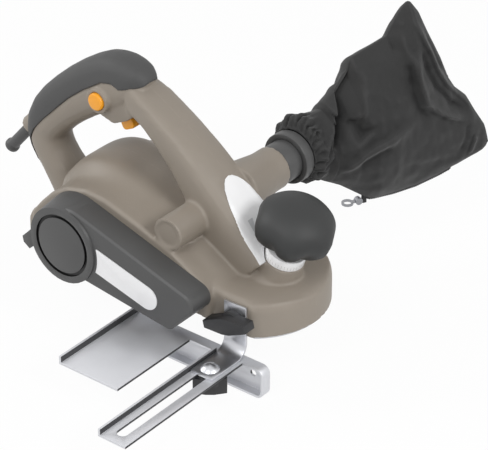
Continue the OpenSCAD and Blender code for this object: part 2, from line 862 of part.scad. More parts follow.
module pulley(x, z, r) {
    difference() {
        union() {
            rod(x, z, r, -pulley_y0 - pulley_w, -pulley_y0);
            rod(x, z, r + 1.8, -pulley_y0, -pulley_y0 + 1.2);
            rod(x, z, shaft_r + 3, -pulley_y0, -half_b - 0.8);
        }
        rod(x, z, shaft_r, -far, far);
    }
}

module drum_pulley() {
    color([0.2, 0.2, 0.21]) pulley(drum_x, drum_z, drum_pulley_r);
}

module motor_pulley() {
    color([0.2, 0.2, 0.21]) pulley(motor_x, motor_z, motor_pulley_r);
}

module pulley_nut() {
    color([0.6, 0.6, 0.62]) difference() {
        translate([drum_x, -pulley_y0 - pulley_w, drum_z]) rotate([90, 0, 0]) cylinder(r = 8, h = 3, $fn = 6);
        rod(drum_x, drum_z, shaft_r, -far, far);
    }
}

module belt_loop(grow) {
    hull() {
        translate([motor_x, motor_z]) circle(r = motor_pulley_r + grow, $fn = 72);
        translate([drum_x, drum_z]) circle(r = drum_pulley_r + grow, $fn = 72);
    }
}

module drive_belt() {
    color([0.1, 0.1, 0.1]) across(-pulley_y0 - belt_w - 0.5, -pulley_y0 - 0.5) difference() {
        belt_loop(soft_gap + belt_t);
        belt_loop(soft_gap);
    }
}

// Motor

module stator() {
    color([0.5, 0.5, 0.52]) difference() {
        rod(motor_x, motor_z, stator_r, -motor_half + 3, 10);
        rod(motor_x, motor_z, core_r + 0.5, -far, far);
        for (s = [-1, 1]) rod(motor_x + s * (core_r + 1), motor_z, 6, -far, far);
    }
}

module armature() {
    color([0.6, 0.4, 0.25]) difference() {
        rod(motor_x, motor_z, core_r, -motor_half + 5, 8);
        rod(motor_x, motor_z, shaft_r, -far, far);
        for (a = [0:30:330])
            translate([motor_x, 0, motor_z]) rotate([0, a, 0]) translate([core_r - 3, -far, -0.8])
                cube([6, 2 * far, 1.6]);
    }
}

module motor_shaft() {
    color([0.7, 0.7, 0.72]) rod(motor_x, motor_z, shaft_r, -shaft_end, far_bearing_y + bearing_w - 0.5);
}

comm_r = 10.5;
comm_y = 13;
module commutator() {
    color([0.72, 0.45, 0.2]) tube(motor_x, motor_z, comm_r, shaft_r, comm_y, comm_y + 11);
}

fan_r = stator_r - 4.5;
module motor_fan() {
    y0 = -motor_half - 7;
    color([0.15, 0.15, 0.16]) difference() {
        union() {
            rod(motor_x, motor_z, fan_r, y0, y0 + 1.6);
            rod(motor_x, motor_z, shaft_r + 3, y0, y0 + 6);
            for (a = [0:30:330])
                translate([motor_x, 0, motor_z]) rotate([0, a, 0])
                    translate([shaft_r + 2, y0, -0.7]) cube([fan_r - shaft_r - 3, 6, 1.4]);
        }
        rod(motor_x, motor_z, shaft_r, -far, far);
    }
}

module motor_bearings() {
    color([0.68, 0.68, 0.7]) for (y0 = [-half_b, far_bearing_y])
        tube(motor_x, motor_z, bearing_r, shaft_r + run_gap, y0, y0 + bearing_w);
}

brush_w = 6;
brush_h = 8;
module brush_bar(x0, x1, w, h) {
    for (s = [0, 180]) translate([motor_x, comm_y + 5.5, motor_z]) rotate([0, s, 0])
        translate([x0, -w / 2, -h / 2]) cube([x1 - x0, w, h]);
}

module brush_holders() {
    color([0.75, 0.6, 0.3]) difference() {
        brush_bar(comm_r + 2.5, stator_r - 1.2, brush_w + 2.4, brush_h + 2.4);
        brush_bar(0, stator_r + 5, brush_w + 0.1, brush_h + 0.1);
    }
}

module carbon_brushes() {
    color([0.12, 0.12, 0.12]) difference() {
        brush_bar(comm_r - 1, comm_r + 13, brush_w, brush_h);
        rod(motor_x, motor_z, comm_r + soft_gap, -far, far);
    }
}

// Switch, trigger, lock button, cord guard

module switch_body() {
    color([0.12, 0.12, 0.12]) on_trigger()
        translate([-switch_size[0] / 2 - 6, -switch_size[1] / 2, switch_up]) cube(switch_size);
}

module trigger() {
    color([0.96, 0.62, 0.1]) on_trigger() translate([0, trigger_w / 2, 0]) rotate([90, 0, 0])
        linear_extrude(trigger_w) union() {
            translate([-trigger_l / 2, -trigger_out + 3]) square([trigger_l, trigger_out + trigger_in - 3]);
            translate([-trigger_l / 2 + 3, -trigger_out]) square([trigger_l - 6, 4]);
            for (s = [-1, 1]) translate([s * (trigger_l / 2 - 3), -trigger_out + 3]) circle(r = 3);
        }
}

module lock_button() {
    color([0.96, 0.62, 0.1]) {
        rod(lock_x, lock_z, lock_r, -lock_face + 1, -11.2);
        translate([lock_x, -lock_face + 1, lock_z]) rotate([90, 0, 0])
            cylinder(r1 = lock_r, r2 = lock_r - 1, h = 1);
    }
}

guard_l = 40;
module cord_guard() {
    color([0.3, 0.3, 0.31]) on_guard() rotate_extrude()
        polygon([[guard_r - 1.4, -14], [guard_r, -14], [guard_r, guard_l - 5], [guard_r + 1.3, guard_l - 3],
            [guard_r + 1.3, guard_l], [guard_r - 1.4, guard_l]]);
}

// Dust bag

module chip_adapter() {
    color([0.28, 0.28, 0.29]) difference() {
        union() {
            rod(outlet_x, outlet_z, outlet_bore - 0.15, outlet_y - 22, outlet_y + soft_gap);
            rod(outlet_x, outlet_z, outlet_bore + 1.6, outlet_y + soft_gap, bag_y - soft_gap);
        }
        rod(outlet_x, outlet_z, outlet_bore - 2, 0, far);
    }
}

module bag_collar() {
    color([0.36, 0.36, 0.37]) difference() {
        rod(outlet_x, outlet_z, collar_r, bag_y - 10, bag_y - soft_gap);
        rod(outlet_x, outlet_z, outlet_bore + 1.6 + slide_gap, 0, far);
    }
}

// Reach along the bag to a point in plan: it leaves the collar square and then turns forward
function bag_place(s) = let (b = min(s / 34, 1))
    [bag_x + bag_lean * (s < 34 ? s * b / 2 : s - 17), bag_y + (s < 34 ? s * (1 - (1 - bag_run) * b / 2)
        : 34 * (1 + bag_run) / 2 + bag_run * (s - 34))];
bag_sides = 22;
// Main folds of the side away from the tool: two ends as reach and height, lift, half width
bag_folds = [
    [[48, 60], [45, 25], -8, 7], [[45, 25], [41, -10], -8, 7], [[104, 84], [116, 26], 4, 7],
    [[116, 26], [154, -8], 4, 8], [[26, -24], [54, -6], 4, 8], [[54, -6], [112, -6], 3, 9]
];
function fold_gap(p, f) = let (
    d = f[1] - f[0],
    t = max(0, min(1, ((p - f[0]) * d) / (d * d))))
    norm(p - f[0] - t * d);
function fold_lift(p) = [for (f = bag_folds) f[2] * exp(-pow(fold_gap(p, f) / f[3], 2))] * [for (f = bag_folds) 1];
function bag_ring(st) = let (
    s = st[0] * bag_scale,
    c = bag_place(s),
    b = min(s / 34, 1),
    side = [bag_run, -bag_lean] * b + [1, 0] * (1 - b),
    mid = (st[1] + st[2]) / 2,
    half = (st[2] - st[1]) / 2)
    [for (j = [0:bag_sides - 1]) let (
        t = 360 * j / bag_sides,
        pleat = 1 + 0.05 * b * sin(5 * t + 2 * s),
        lift = b * max(0, cos(t)) * fold_lift([s, mid + half * sin(t)]),
        w = bag_t / 2 * st[3] * power(cos(t), 0.9 + 0.35 * b) * pleat + lift)
        [c[0] + side[0] * w, c[1] + side[1] * w, outlet_z + mid + half * sin(t)]];

module dust_bag() {
    color([0.16, 0.16, 0.17]) loft([for (s = smooth(bag_path, 2)) bag_ring(s)]);
}

// Closing strip along the bag's lower hem
zip_path = [for (s = bag_path) if (s[0] > 60 && s[0] < 160) s];
module bag_zip() {
    rings = [for (st = zip_path) let (c = bag_place(st[0] * bag_scale), z = outlet_z + st[1] - soft_gap)
        [for (p = [[-1.5, 0], [-1.5, -5], [1.5, -5], [1.5, 0]])
            [c[0] + bag_run * p[0], c[1] - bag_lean * p[0], z + p[1]]]];
    color([0.1, 0.1, 0.1]) loft(rings);
}

pull_r = 3;
pull_reach = 9.5;
module zip_pull() {
    st = zip_path[0];
    c = bag_place(st[0] * bag_scale - pull_r - soft_gap);
    lean = atan2(bag_run, bag_lean);
    color([0.75, 0.75, 0.77]) translate([c[0], c[1], outlet_z + st[1] - pull_r]) rotate([0, 0, lean]) {
        translate([0, 2.2, 0]) rotate([90, 0, 0]) cylinder(r = pull_r, h = 4.4);
        translate([-pull_reach + 4, -1.4, -0.8]) cube([pull_reach - 5, 2.8, 1.6]);
        translate([-pull_reach, 0, -0.8]) difference() {
            cylinder(r = 4.8, h = 1.6);
            translate([0, 0, -1]) cylinder(r = 3.2, h = 4);
        }
    }
}

// Park foot

module park_foot() {
    color([0.3, 0.3, 0.31]) difference() {
        across(foot_y - foot_w / 2, foot_y + foot_w / 2) union() {
            translate([foot_x, foot_pin_z]) circle(r = 5);
            polygon([[foot_x - 4.5, foot_pin_z], [foot_x + 4.5, foot_pin_z], [foot_x - 8, -7],
                [foot_x - 11, -10], [foot_x - 17, -6], [foot_x - 18, -1], [foot_x - 12, 5]]);
        }
        rod(foot_x, foot_pin_z, foot_pin_r + run_gap, -far, far);
    }
}

module foot_pin() {
    color([0.7, 0.7, 0.72]) rod(foot_x, foot_pin_z, foot_pin_r, foot_y - foot_pin_half, foot_y + foot_pin_half);
}

// Edge guide

module guide_bracket() {
    y0 = -half_b - sheet_t;
    color([0.84, 0.85, 0.86]) difference() {
        union() {
            translate([stud_x - bracket_w / 2, y0, bend_z]) cube([bracket_w, sheet_t, bracket_top - bend_z]);
            translate([stud_x - bracket_w / 2, y0 - bend_r, bend_z]) rotate([90, 0, 90])
                rotate_extrude(angle = -90) translate([bend_r, 0]) square([sheet_t, bracket_w]);
            translate([stud_x - bracket_w / 2, bolt_y - 10, foot_top - sheet_t])
                cube([bracket_w, y0 - bend_r - bolt_y + 10, sheet_t]);
        }
        rod(stud_x, stud_z, stud_r + 0.3, -far, 0);
        translate([stud_x, bolt_y, -far]) cylinder(r = bolt_r + seat_gap, h = 2 * far);
    }
}

// Hub with a bar across it, along +Z from its seat
module wings(hub_r, hub_h, span, tip, bore) {
    mid = hub_r * 0.75;
    outline = [[span, tip], [mid / 2, mid], [-mid / 2, mid], [-span, tip], [-span, -tip], [-mid / 2, -mid],
        [mid / 2, -mid], [span, -tip]];
    difference() {
        union() {
            cylinder(r = hub_r, h = hub_h * 0.5);
            translate([0, 0, hub_h * 0.15]) linear_extrude(hub_h * 0.85) polygon(outline);
        }
        translate([0, 0, -1]) cylinder(r = bore, h = hub_h - 2);
    }
}

module bracket_knob() {
    color([0.1, 0.1, 0.11]) translate([stud_x, -half_b - sheet_t - slide_gap, stud_z]) rotate([90, 0, 0])
        rotate([0, 0, 14]) wings(8.5, 13, 19.5, 3, stud_r);
}

module bracket_stud() {
    color([0.75, 0.75, 0.77]) rod(stud_x, stud_z, stud_r, -half_b - sheet_t - 10, -half_b + 14);
}

module carriage_bolt() {
    color([0.86, 0.87, 0.88]) translate([stud_x, bolt_y, 0]) {
        translate([0, 0, foot_top - bolt_l]) cylinder(r = bolt_r, h = bolt_l);
        intersection() {
            translate([0, 0, foot_top - 5.5]) sphere(r = 9.2);
            translate([0, 0, foot_top]) cylinder(r = 10, h = 10);
        }
    }
}

module guide_bar() {
    color([0.84, 0.85, 0.86]) difference() {
        union() {
            translate([stud_x - bar_w / 2, bar_y - bar_l, bar_top - sheet_t]) cube([bar_w, bar_l, sheet_t]);
            translate([stud_x - bar_w / 2, bar_y - bar_l, bar_top]) cube([sheet_t, bar_l - 1, 4.5]);
        }
        translate([stud_x, 0, -far]) linear_extrude(2 * far) {
            translate([-slot_w / 2, slot_y0]) square([slot_w, slot_y1 - slot_y0]);
            for (y = [slot_y0, slot_y1]) translate([0, y]) circle(r = slot_w / 2);
        }
    }
}

// Outline of the guide's upright face, with round corners at its front end
fence_round = 6;
module fence_outline(inset) {
    r = fence_round - inset;
    translate([fence_x0 - inset, bar_top - fence_h + inset]) {
        square([fence_l - r, fence_h - 2 * inset]);
        translate([0, r]) square([fence_l, fence_h - 2 * fence_round]);
        for (z = [r, fence_h - 2 * inset - r]) translate([fence_l - r, z]) circle(r = r);
    }
}

module fence_plate() {
    y0 = -half_b - sheet_t;
    z1 = bar_top;
    color([0.84, 0.85, 0.86]) difference() {
        union() {
            // Upright face with its top, end and bottom lips
            across(y0, y0 + sheet_t) fence_outline(0);
            difference() {
                across(y0 - lip, y0) fence_outline(0);
                across(y0 - lip - 1, y0) fence_outline(sheet_t);
            }
            // Table with an upturned rear edge
            translate([fence_x0, y0 - table_l, z1 - sheet_t]) cube([table_w, table_l, sheet_t]);
            translate([fence_x0, y0 - table_l, z1 - sheet_t]) cube([sheet_t, table_l, 7]);
        }
        rod(fence_x1 - 14, z1 - fence_h * 0.42, 2.6, -far, far);
        rod(fence_x0 + 16, z1 - fence_h * 0.42, 2.6, -far, far);
    }
}

module wing_nut() {
    color([0.1, 0.1, 0.11]) translate([stud_x, bolt_y, bar_top - sheet_t - slide_gap]) rotate([180, 0, 0])
        rotate([0, 0, -38]) wings(8.5, 15, 12.5, 4, bolt_r + run_gap);
}

near_housing();
far_housing();
grip_overmould();
front_panel();
belt_cover();
label_plate();
housing_screws();
rear_shoe();
shoe_screws();
front_shoe();
shoe_guide_pins();
depth_spindle();
depth_spring();
depth_ring();
depth_knob();
cutter_drum();
blades();
blade_clamps();
clamp_screws();
drum_bearings();
drum_pulley();
pulley_nut();
bearing_cap();
stator();
armature();
motor_shaft();
commutator();
motor_fan();
motor_bearings();
brush_holders();
carbon_brushes();
motor_pulley();
drive_belt();
switch_body();
trigger();
lock_button();
cord_guard();
chip_adapter();
bag_collar();
dust_bag();
bag_zip();
zip_pull();
park_foot();
foot_pin();
guide_bracket();
bracket_knob();
bracket_stud();
carriage_bolt();
guide_bar();
fence_plate();
wing_nut();
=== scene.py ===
"""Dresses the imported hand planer: moulded skins, sheet-steel edge guide, cloth dust bag and studio."""

from __future__ import annotations

import json
import logging
import math
from dataclasses import dataclass
from enum import Enum
from typing import Iterable, Optional, Protocol, Sequence, Union

import bmesh
import bpy
from mathutils import Matrix, Vector, noise


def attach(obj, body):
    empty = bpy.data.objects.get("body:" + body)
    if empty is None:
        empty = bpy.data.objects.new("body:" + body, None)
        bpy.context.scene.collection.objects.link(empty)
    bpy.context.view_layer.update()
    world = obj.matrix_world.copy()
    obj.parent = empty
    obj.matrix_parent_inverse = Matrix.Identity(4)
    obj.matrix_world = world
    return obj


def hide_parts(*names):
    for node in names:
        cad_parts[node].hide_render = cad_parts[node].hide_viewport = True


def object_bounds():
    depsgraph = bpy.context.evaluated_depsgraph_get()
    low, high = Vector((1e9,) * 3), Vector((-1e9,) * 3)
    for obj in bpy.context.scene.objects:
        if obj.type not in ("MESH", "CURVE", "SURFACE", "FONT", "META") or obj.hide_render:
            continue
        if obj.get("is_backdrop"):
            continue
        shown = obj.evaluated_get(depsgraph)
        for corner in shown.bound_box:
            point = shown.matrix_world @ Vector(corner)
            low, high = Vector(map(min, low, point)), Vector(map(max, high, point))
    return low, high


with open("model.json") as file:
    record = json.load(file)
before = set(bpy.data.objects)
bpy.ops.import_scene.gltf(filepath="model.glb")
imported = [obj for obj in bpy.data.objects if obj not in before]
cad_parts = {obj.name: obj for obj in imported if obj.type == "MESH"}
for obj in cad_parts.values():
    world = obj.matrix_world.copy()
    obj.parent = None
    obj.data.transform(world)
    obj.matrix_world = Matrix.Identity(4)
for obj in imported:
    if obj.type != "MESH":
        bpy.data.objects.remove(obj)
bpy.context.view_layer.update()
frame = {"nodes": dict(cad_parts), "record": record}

Colour = tuple[float, float, float]
Point = tuple[float, float, float]
LOG = logging.getLogger("planer")
MM = 0.001
SMOOTHING = {"factor": 0.5, "use_axis_x": True, "use_axis_y": True, "use_axis_z": True}
IN_SEAM = 0.002 * MM
WELD = 0.004 * MM
NEARLY_FLAT = math.radians(0.6)
RUBBED_EDGE = (0.53, 0.6)
SCUFFS = (0.42, 0.62)
# Pointiness bands for the cloth's painted highlight on fold ridges and painted shade in creases.
RIDGE_HIGHLIGHT = (0.503, 0.53)
CREASE_SHADE = (0.497, 0.46)
FOLD_REACH = 2.6
FOLD_FADE = 5.0
FOLD_END = 0.15


class Slot(Enum):
    """The record's material slots."""

    SHELL = "body_shell"
    GRIP = "soft_grip"
    DARK = "dark_plastic"
    WHITE = "white_plastic"
    ORANGE = "orange_plastic"
    BLACK = "black_plastic"
    SOLE = "cast_sole"
    BRIGHT = "bright_steel"
    MACHINED = "machined_steel"
    LAMINATED = "laminations"
    COPPER = "copper"
    CARBON = "carbon"
    BELT = "belt_rubber"
    CLOTH = "bag_cloth"


def linear(red: int, green: int, blue: int) -> Colour:
    """The linear colour of a colour given as it looks on screen, 0 to 255 each."""

    def part(value: int) -> float:
        share = value / 255
        return share / 12.92 if share <= 0.04045 else ((share + 0.055) / 1.055) ** 2.4

    return part(red), part(green), part(blue)


def scaled(colour: Colour, by: float) -> Colour:
    """A colour made lighter or darker, kept below white."""
    return tuple(min(0.95, part * by) for part in colour)


Value = Union["Wire", float, Sequence[float]]


class Wire:
    """A shader socket that takes part in sums."""

    def __init__(self, graph: "Graph", socket: bpy.types.NodeSocket) -> None:
        """Keeps the graph that the socket is in."""
        self.graph = graph
        self.socket = socket

    def _sum(self, operation: str, first: Value, second: Value) -> "Wire":
        """One Math node on two values."""
        return self.graph.node("ShaderNodeMath", {"operation": operation}, {0: first, 1: second})

    def __add__(self, other: Value) -> "Wire":
        """self + other."""
        return self._sum("ADD", self, other)

    __radd__ = __add__

    def __sub__(self, other: Value) -> "Wire":
        """self - other."""
        return self._sum("SUBTRACT", self, other)

    def __rsub__(self, other: Value) -> "Wire":
        """other - self."""
        return self._sum("SUBTRACT", other, self)

    def __mul__(self, other: Value) -> "Wire":
        """self * other."""
        return self._sum("MULTIPLY", self, other)

    __rmul__ = __mul__

    def __truediv__(self, other: Value) -> "Wire":
        """self / other."""
        return self._sum("DIVIDE", self, other)

    def __pow__(self, other: Value) -> "Wire":
        """self to a power."""
        return self._sum("POWER", self, other)

    def __abs__(self) -> "Wire":
        """The value without its sign."""
        return self._sum("ABSOLUTE", self, 0.0)

    def greatest(self, other: Value) -> "Wire":
        """The larger of two values."""
        return self._sum("MAXIMUM", self, other)

    def swing(self, by: float) -> "Wire":
        """A value of 0 to 1 as a swing about zero, that many times as wide."""
        return (self - 0.5) * by

    def wave(self) -> "Wire":
        """The sine of the value."""
        return self._sum("SINE", self, 0.0)

    def rise(self, low: float, high: float) -> "Wire":
        """0 below low, 1 above high and a smooth step between, or a fall where low is the higher."""
        bounds = {"Value": self, "From Min": low, "From Max": high}
        return self.graph.node("ShaderNodeMapRange", {"interpolation_type": "SMOOTHSTEP"}, bounds)


class Graph:
    """One material's nodes, written as expressions."""

    def __init__(self, holder: Union[bpy.types.Material, bpy.types.World]) -> None:
        """Works on a material's or the world's nodes.

        Args:
            holder: What the nodes belong to.
        """
        self.holder = holder
        holder.use_nodes = True
        self.tree = holder.node_tree

    @classmethod
    def start(cls, name: str) -> "Graph":
        """A new material with its Principled shader."""
        return cls(bpy.data.materials.new(name))

    @property
    def shader(self) -> bpy.types.ShaderNode:
        """The Principled shader."""
        return self.tree.nodes["Principled BSDF"]

    @property
    def plain(self) -> "Wire":
        """What feeds the shader's colour so far."""
        return Wire(self, self.shader.inputs["Base Color"].links[0].from_socket)

    def put(self, socket: bpy.types.NodeSocket, value: Value) -> None:
        """Links a wire to a socket, or sets the socket's own value."""
        if isinstance(value, Wire):
            self.tree.links.new(value.socket, socket)
        else:
            socket.default_value = value

    def node(
        self,
        kind: str,
        settings: Optional[dict] = None,
        values: Optional[dict] = None,
        out: Union[int, str] = 0,
    ) -> Wire:
        """Adds a node.

        Args:
            kind: The node's type.
            settings: Its own settings, by name.
            values: Numbers or wires for its sockets, by name or place.
            out: The socket that is given back.

        Returns:
            The wire of that socket.
        """
        made = self.tree.nodes.new(kind)
        for key, setting in (settings or {}).items():
            setattr(made, key, setting)
        for key, value in (values or {}).items():
            self.put(made.inputs[key], value)
        return Wire(self, made.outputs[out])

    def place(self, turn: Point = (0.0, 0.0, 0.0), shift: Point = (0.0, 0.0, 0.0)) -> Wire:
        """Object coordinates, turned about and moved to a pattern's own middle."""
        spot = self.node("ShaderNodeTexCoord", out="Object")
        if not any(turn) and not any(shift):
            return spot
        values = {"Vector": spot, "Location": shift, "Rotation": turn}
        return self.node("ShaderNodeMapping", {"vector_type": "TEXTURE"}, values)

    def parts(self, vector: Wire) -> tuple[Wire, Wire, Wire]:
        """The x, y and z of a vector."""
        made = self.tree.nodes.new("ShaderNodeSeparateXYZ")
        self.put(made.inputs[0], vector)
        return Wire(self, made.outputs[0]), Wire(self, made.outputs[1]), Wire(self, made.outputs[2])

    def noise(self, at: Wire, size: float, detail: float = 2.0, rough: float = 0.5) -> Wire:
        """Noise whose cells are about size metres across."""
        values = {"Vector": at, "Scale": 1 / size, "Detail": detail, "Roughness": rough}
        return self.node("ShaderNodeTexNoise", None, values)

    def mix(self, share: Value, first: Value, second: Value) -> Wire:
        """A colour between two colours."""

        def full(value: Value) -> Value:
            return value if isinstance(value, Wire) else (*value, 1.0)

        values = {0: share, 6: full(first), 7: full(second)}
        return self.node("ShaderNodeMix", {"data_type": "RGBA"}, values, 2)

    def bump(self, height: Wire, depth: float, before: Optional[Wire] = None) -> Wire:
        """A normal bent by a height of 0 to 1 over that depth in metres."""
        values: dict = {"Height": height, "Distance": depth, "Strength": 1.0}
        if before is not None:
            values["Normal"] = before
        return self.node("ShaderNodeBump", None, values)

    def finish(self, **values: Value) -> bpy.types.Material:
        """Feeds the shader, by socket name with _ for a space, and gives the material back."""
        for key, value in values.items():
            socket = self.shader.inputs[key.replace("_", " ")]
            if not isinstance(value, Wire) and socket.type == "RGBA":
                value = (*value, 1.0)
            self.put(socket, value)
        return self.holder


class Finish(Protocol):
    """Whatever can make a material."""

    def make(self, name: str) -> bpy.types.Material:
        """The material under that name."""


@dataclass(frozen=True)
class Plastic:
    """Moulded plastic or rubber with a spark-eroded grain, a faint cloudiness and rubbed edges."""

    colour: Colour
    roughness: float
    grain: float = 0.03 * MM
    grain_size: float = 0.5 * MM
    cloud: float = 0.05
    rubbed: float = 0.0
    coat: float = 0.0
    cloud_size: float = 38 * MM
    scuff_size: float = 6 * MM
    bared: float = 1.5

    def make(self, name: str) -> bpy.types.Material:
        """The material.

        Args:
            name: The material's name.

        Returns:
            The finished material.
        """
        graph = Graph.start(name)
        at = graph.place()
        fine = graph.noise(at, self.grain_size, 2.0, 0.6)
        broad = graph.noise(at, self.cloud_size, 3.0)
        shade = broad.swing(1.3) + fine.swing(0.5) + 0.5
        low = scaled(self.colour, 1 - self.cloud)
        colour = graph.mix(shade, low, scaled(self.colour, 1 + self.cloud))
        if self.rubbed:
            edge = graph.node("ShaderNodeNewGeometry", out="Pointiness").rise(*RUBBED_EDGE)
            scuffs = graph.noise(at, self.scuff_size, 4.0, 0.7).rise(*SCUFFS)
            colour = graph.mix(edge * scuffs * self.rubbed, colour, scaled(self.colour, self.bared))
        rough = fine.swing(0.1) + broad.swing(0.12) + self.roughness
        normal = graph.bump(fine, self.grain)
        return graph.finish(Base_Color=colour, Roughness=rough, Normal=normal, Coat_Weight=self.coat)


@dataclass(frozen=True)
class Metal:
    """Steel, aluminium or copper with fine scratches and cloudy patches."""

    colour: Colour
    roughness: float
    scratch: float = 0.01 * MM
    stretch: Point = (1.0, 1.0, 1.0)
    cloud: float = 0.06
    scratch_size: float = 0.7 * MM
    cloud_size: float = 16 * MM

    def make(self, name: str) -> bpy.types.Material:
        """The material.

        Args:
            name: The material's name.

        Returns:
            The finished material.
        """
        graph = Graph.start(name)
        at = graph.place()
        lines = graph.node("ShaderNodeVectorMath", {"operation": "MULTIPLY"}, {0: at, 1: self.stretch})
        fine = graph.noise(lines, self.scratch_size, 3.0, 0.7)
        broad = graph.noise(at, self.cloud_size, 3.0)
        shade = broad.swing(1.2) + fine.swing(0.6) + 0.5
        low = scaled(self.colour, 1 - self.cloud)
        colour = graph.mix(shade, low, scaled(self.colour, 1 + self.cloud))
        rough = broad.swing(0.1) + fine.swing(0.08) + self.roughness
        normal = graph.bump(fine, self.scratch)
        return graph.finish(Base_Color=colour, Roughness=rough, Normal=normal, Metallic=1.0)


@dataclass(frozen=True)
class SheetSteel(Metal):
    """Zinc-plated sheet, dull on its flats, with painted shade darkening the inner faces of its upturned
    flanges.
    """

    # Painted shade: the dark colour put on the flanges' inner faces.
    inside: Colour = (0.06, 0.06, 0.063)
    reach: float = 99 * MM
    soft: float = 1 * MM
    metallic: float = 0.65

    def make(self, name: str) -> bpy.types.Material:
        """The material.

        Args:
            name: The material's name.

        Returns:
            The finished material.
        """
        graph = Graph(super().make(name))
        # Painted shade: faces turned towards +x, short of the reach, are darkened where the flanges look
        # dark from shade and reflection.
        across, _, _ = graph.parts(graph.node("ShaderNodeNewGeometry", out="True Normal"))
        x, _, _ = graph.parts(graph.place())
        flange_shade_mask = across.rise(0.55, 0.9) * x.rise(self.reach + self.soft, self.reach)
        colour = graph.mix(flange_shade_mask, graph.plain, self.inside)
        return graph.finish(Base_Color=colour, Metallic=self.metallic)


@dataclass(frozen=True)
class Weave:
    """Plain-woven cloth: crossed threads turned to the bag's own plane, a dull sheen, a painted highlight
    on the folds' ridges and painted shade in their creases.
    """

    colour: Colour
    thread: float = 0.55 * MM
    turn: float = 0.0
    roughness: float = 0.78
    patch_size: float = 30 * MM
    slub_size: float = 1.6 * MM
    slub_depth: float = 0.05 * MM
    thread_depth: float = 0.06 * MM
    sheen: float = 0.12
    sheen_roughness: float = 0.45

    def make(self, name: str) -> bpy.types.Material:
        """The material.

        Args:
            name: The material's name.

        Returns:
            The finished material.
        """
        graph = Graph.start(name)
        at = graph.place((0.0, 0.0, self.turn))
        along, _, up = graph.parts(at)
        pitch = 2 * math.pi / self.thread
        warp = (along * pitch).wave()
        weft = (up * pitch).wave()
        cloth = (warp * weft + 1.0) * 0.5
        broad = graph.noise(at, self.patch_size, 4.0, 0.6)
        slub = graph.noise(at, self.slub_size, 2.0, 0.6)
        # Painted highlight and shade: fold ridges are lightened and creases darkened, standing in for how
        # light falls on them.
        bend = graph.node("ShaderNodeNewGeometry", out="Pointiness")
        fold = bend.rise(*RIDGE_HIGHLIGHT) * 0.4 - bend.rise(*CREASE_SHADE) * 0.5
        shade = broad.swing(0.4) + slub.swing(0.3) + cloth.swing(0.25) + fold + 0.45
        colour = graph.mix(shade, scaled(self.colour, 0.3), scaled(self.colour, 2.0))
        rough = slub.swing(0.15) + cloth.swing(0.1) + self.roughness
        normal = graph.bump(slub, self.slub_depth, graph.bump(cloth, self.thread_depth))
        graph.shader.inputs["Sheen Weight"].default_value = self.sheen
        graph.shader.inputs["Sheen Roughness"].default_value = self.sheen_roughness
        return graph.finish(Base_Color=colour, Roughness=rough, Normal=normal)


@dataclass(frozen=True)
class CoverPlastic(Plastic):
    """The belt cover's plastic, with painted shade: black on the floor of the round groove."""

    axis: tuple[float, float] = (-58 * MM, 36 * MM)
    groove: tuple[float, float] = (22.1 * MM, 26.1 * MM)
    face: float = -77 * MM
    soft: float = 0.4 * MM
    skin: tuple[float, float] = (0.05 * MM, 0.25 * MM)
    # Painted shade: the near-black put on the groove's floor.
    shade: Colour = (0.004, 0.004, 0.004)

    def make(self, name: str) -> bpy.types.Material:
        """The material.

        Args:
            name: The material's name.

        Returns:
            The finished material.
        """
        graph = Graph(super().make(name))
        x, y, z = graph.parts(graph.place((0.0, 0.0, 0.0), (self.axis[0], 0.0, self.axis[1])))
        reach = (x * x + z * z) ** 0.5
        low, high = self.groove
        ring = reach.rise(low - self.soft, low) * reach.rise(high + self.soft, high)
        # Painted shade: the groove, deeper than a thin skin behind the cover's face, is blackened.
        groove_shade_mask = ring * y.rise(self.face + self.skin[0], self.face + self.skin[1])
        return graph.finish(Base_Color=graph.mix(groove_shade_mask, graph.plain, self.shade))


@dataclass(frozen=True)
class ScalePlastic(Plastic):
    """White plastic with the depth ring's engraved division lines round its own axis."""

    foot: Point = (91.2 * MM, 0.0, 45.8 * MM)
    tilt: float = math.radians(18)
    lines: int = 40
    band: tuple[float, float] = (1.2 * MM, 4.4 * MM)
    soft: float = 0.2 * MM
    ink: Colour = linear(120, 120, 122)

    def make(self, name: str) -> bpy.types.Material:
        """The material.

        Args:
            name: The material's name.

        Returns:
            The finished material.
        """
        graph = Graph(super().make(name))
        x, y, z = graph.parts(graph.place((0.0, self.tilt, 0.0), self.foot))
        turn = graph.node("ShaderNodeMath", {"operation": "ARCTAN2"}, {0: y, 1: x})
        mark = (turn * (self.lines / 2)).wave()
        thin = abs(mark).rise(0.14, 0.05)
        low, high = self.band
        band = z.rise(low - self.soft, low) * z.rise(high + self.soft, high)
        return graph.finish(Base_Color=graph.mix(thin * band, graph.plain, self.ink))


@dataclass(frozen=True)
class LeafPlastic(Plastic):
    """White plastic with a shallow pointer that runs down the slope to the depth ring."""

    top: Point = (38.5 * MM, 0.0, 95.5 * MM)
    lean: float = math.radians(45)
    run: tuple[float, float] = (35.5 * MM, 56.0 * MM)
    middle: tuple[float, float] = (-6.2 * MM, -10.6 * MM)
    half: float = 2.8 * MM
    soft: tuple[float, float] = (0.25 * MM, 0.2 * MM)
    ink: Colour = linear(206, 207, 209)

    def make(self, name: str) -> bpy.types.Material:
        """The material.

        Args:
            name: The material's name.

        Returns:
            The finished material.
        """
        graph = Graph(super().make(name))
        down, side, _ = graph.parts(graph.place((0.0, self.lean, 0.0), self.top))
        first, last = self.run
        share = (down - first) / (last - first)
        off = abs(side - (share * (self.middle[1] - self.middle[0]) + self.middle[0]))
        narrow = ((1.0 - share) * self.half - off).rise(0.0, self.soft[0])
        inside = narrow * down.rise(first - self.soft[1], first)
        return graph.finish(Base_Color=graph.mix(inside, graph.plain, self.ink))


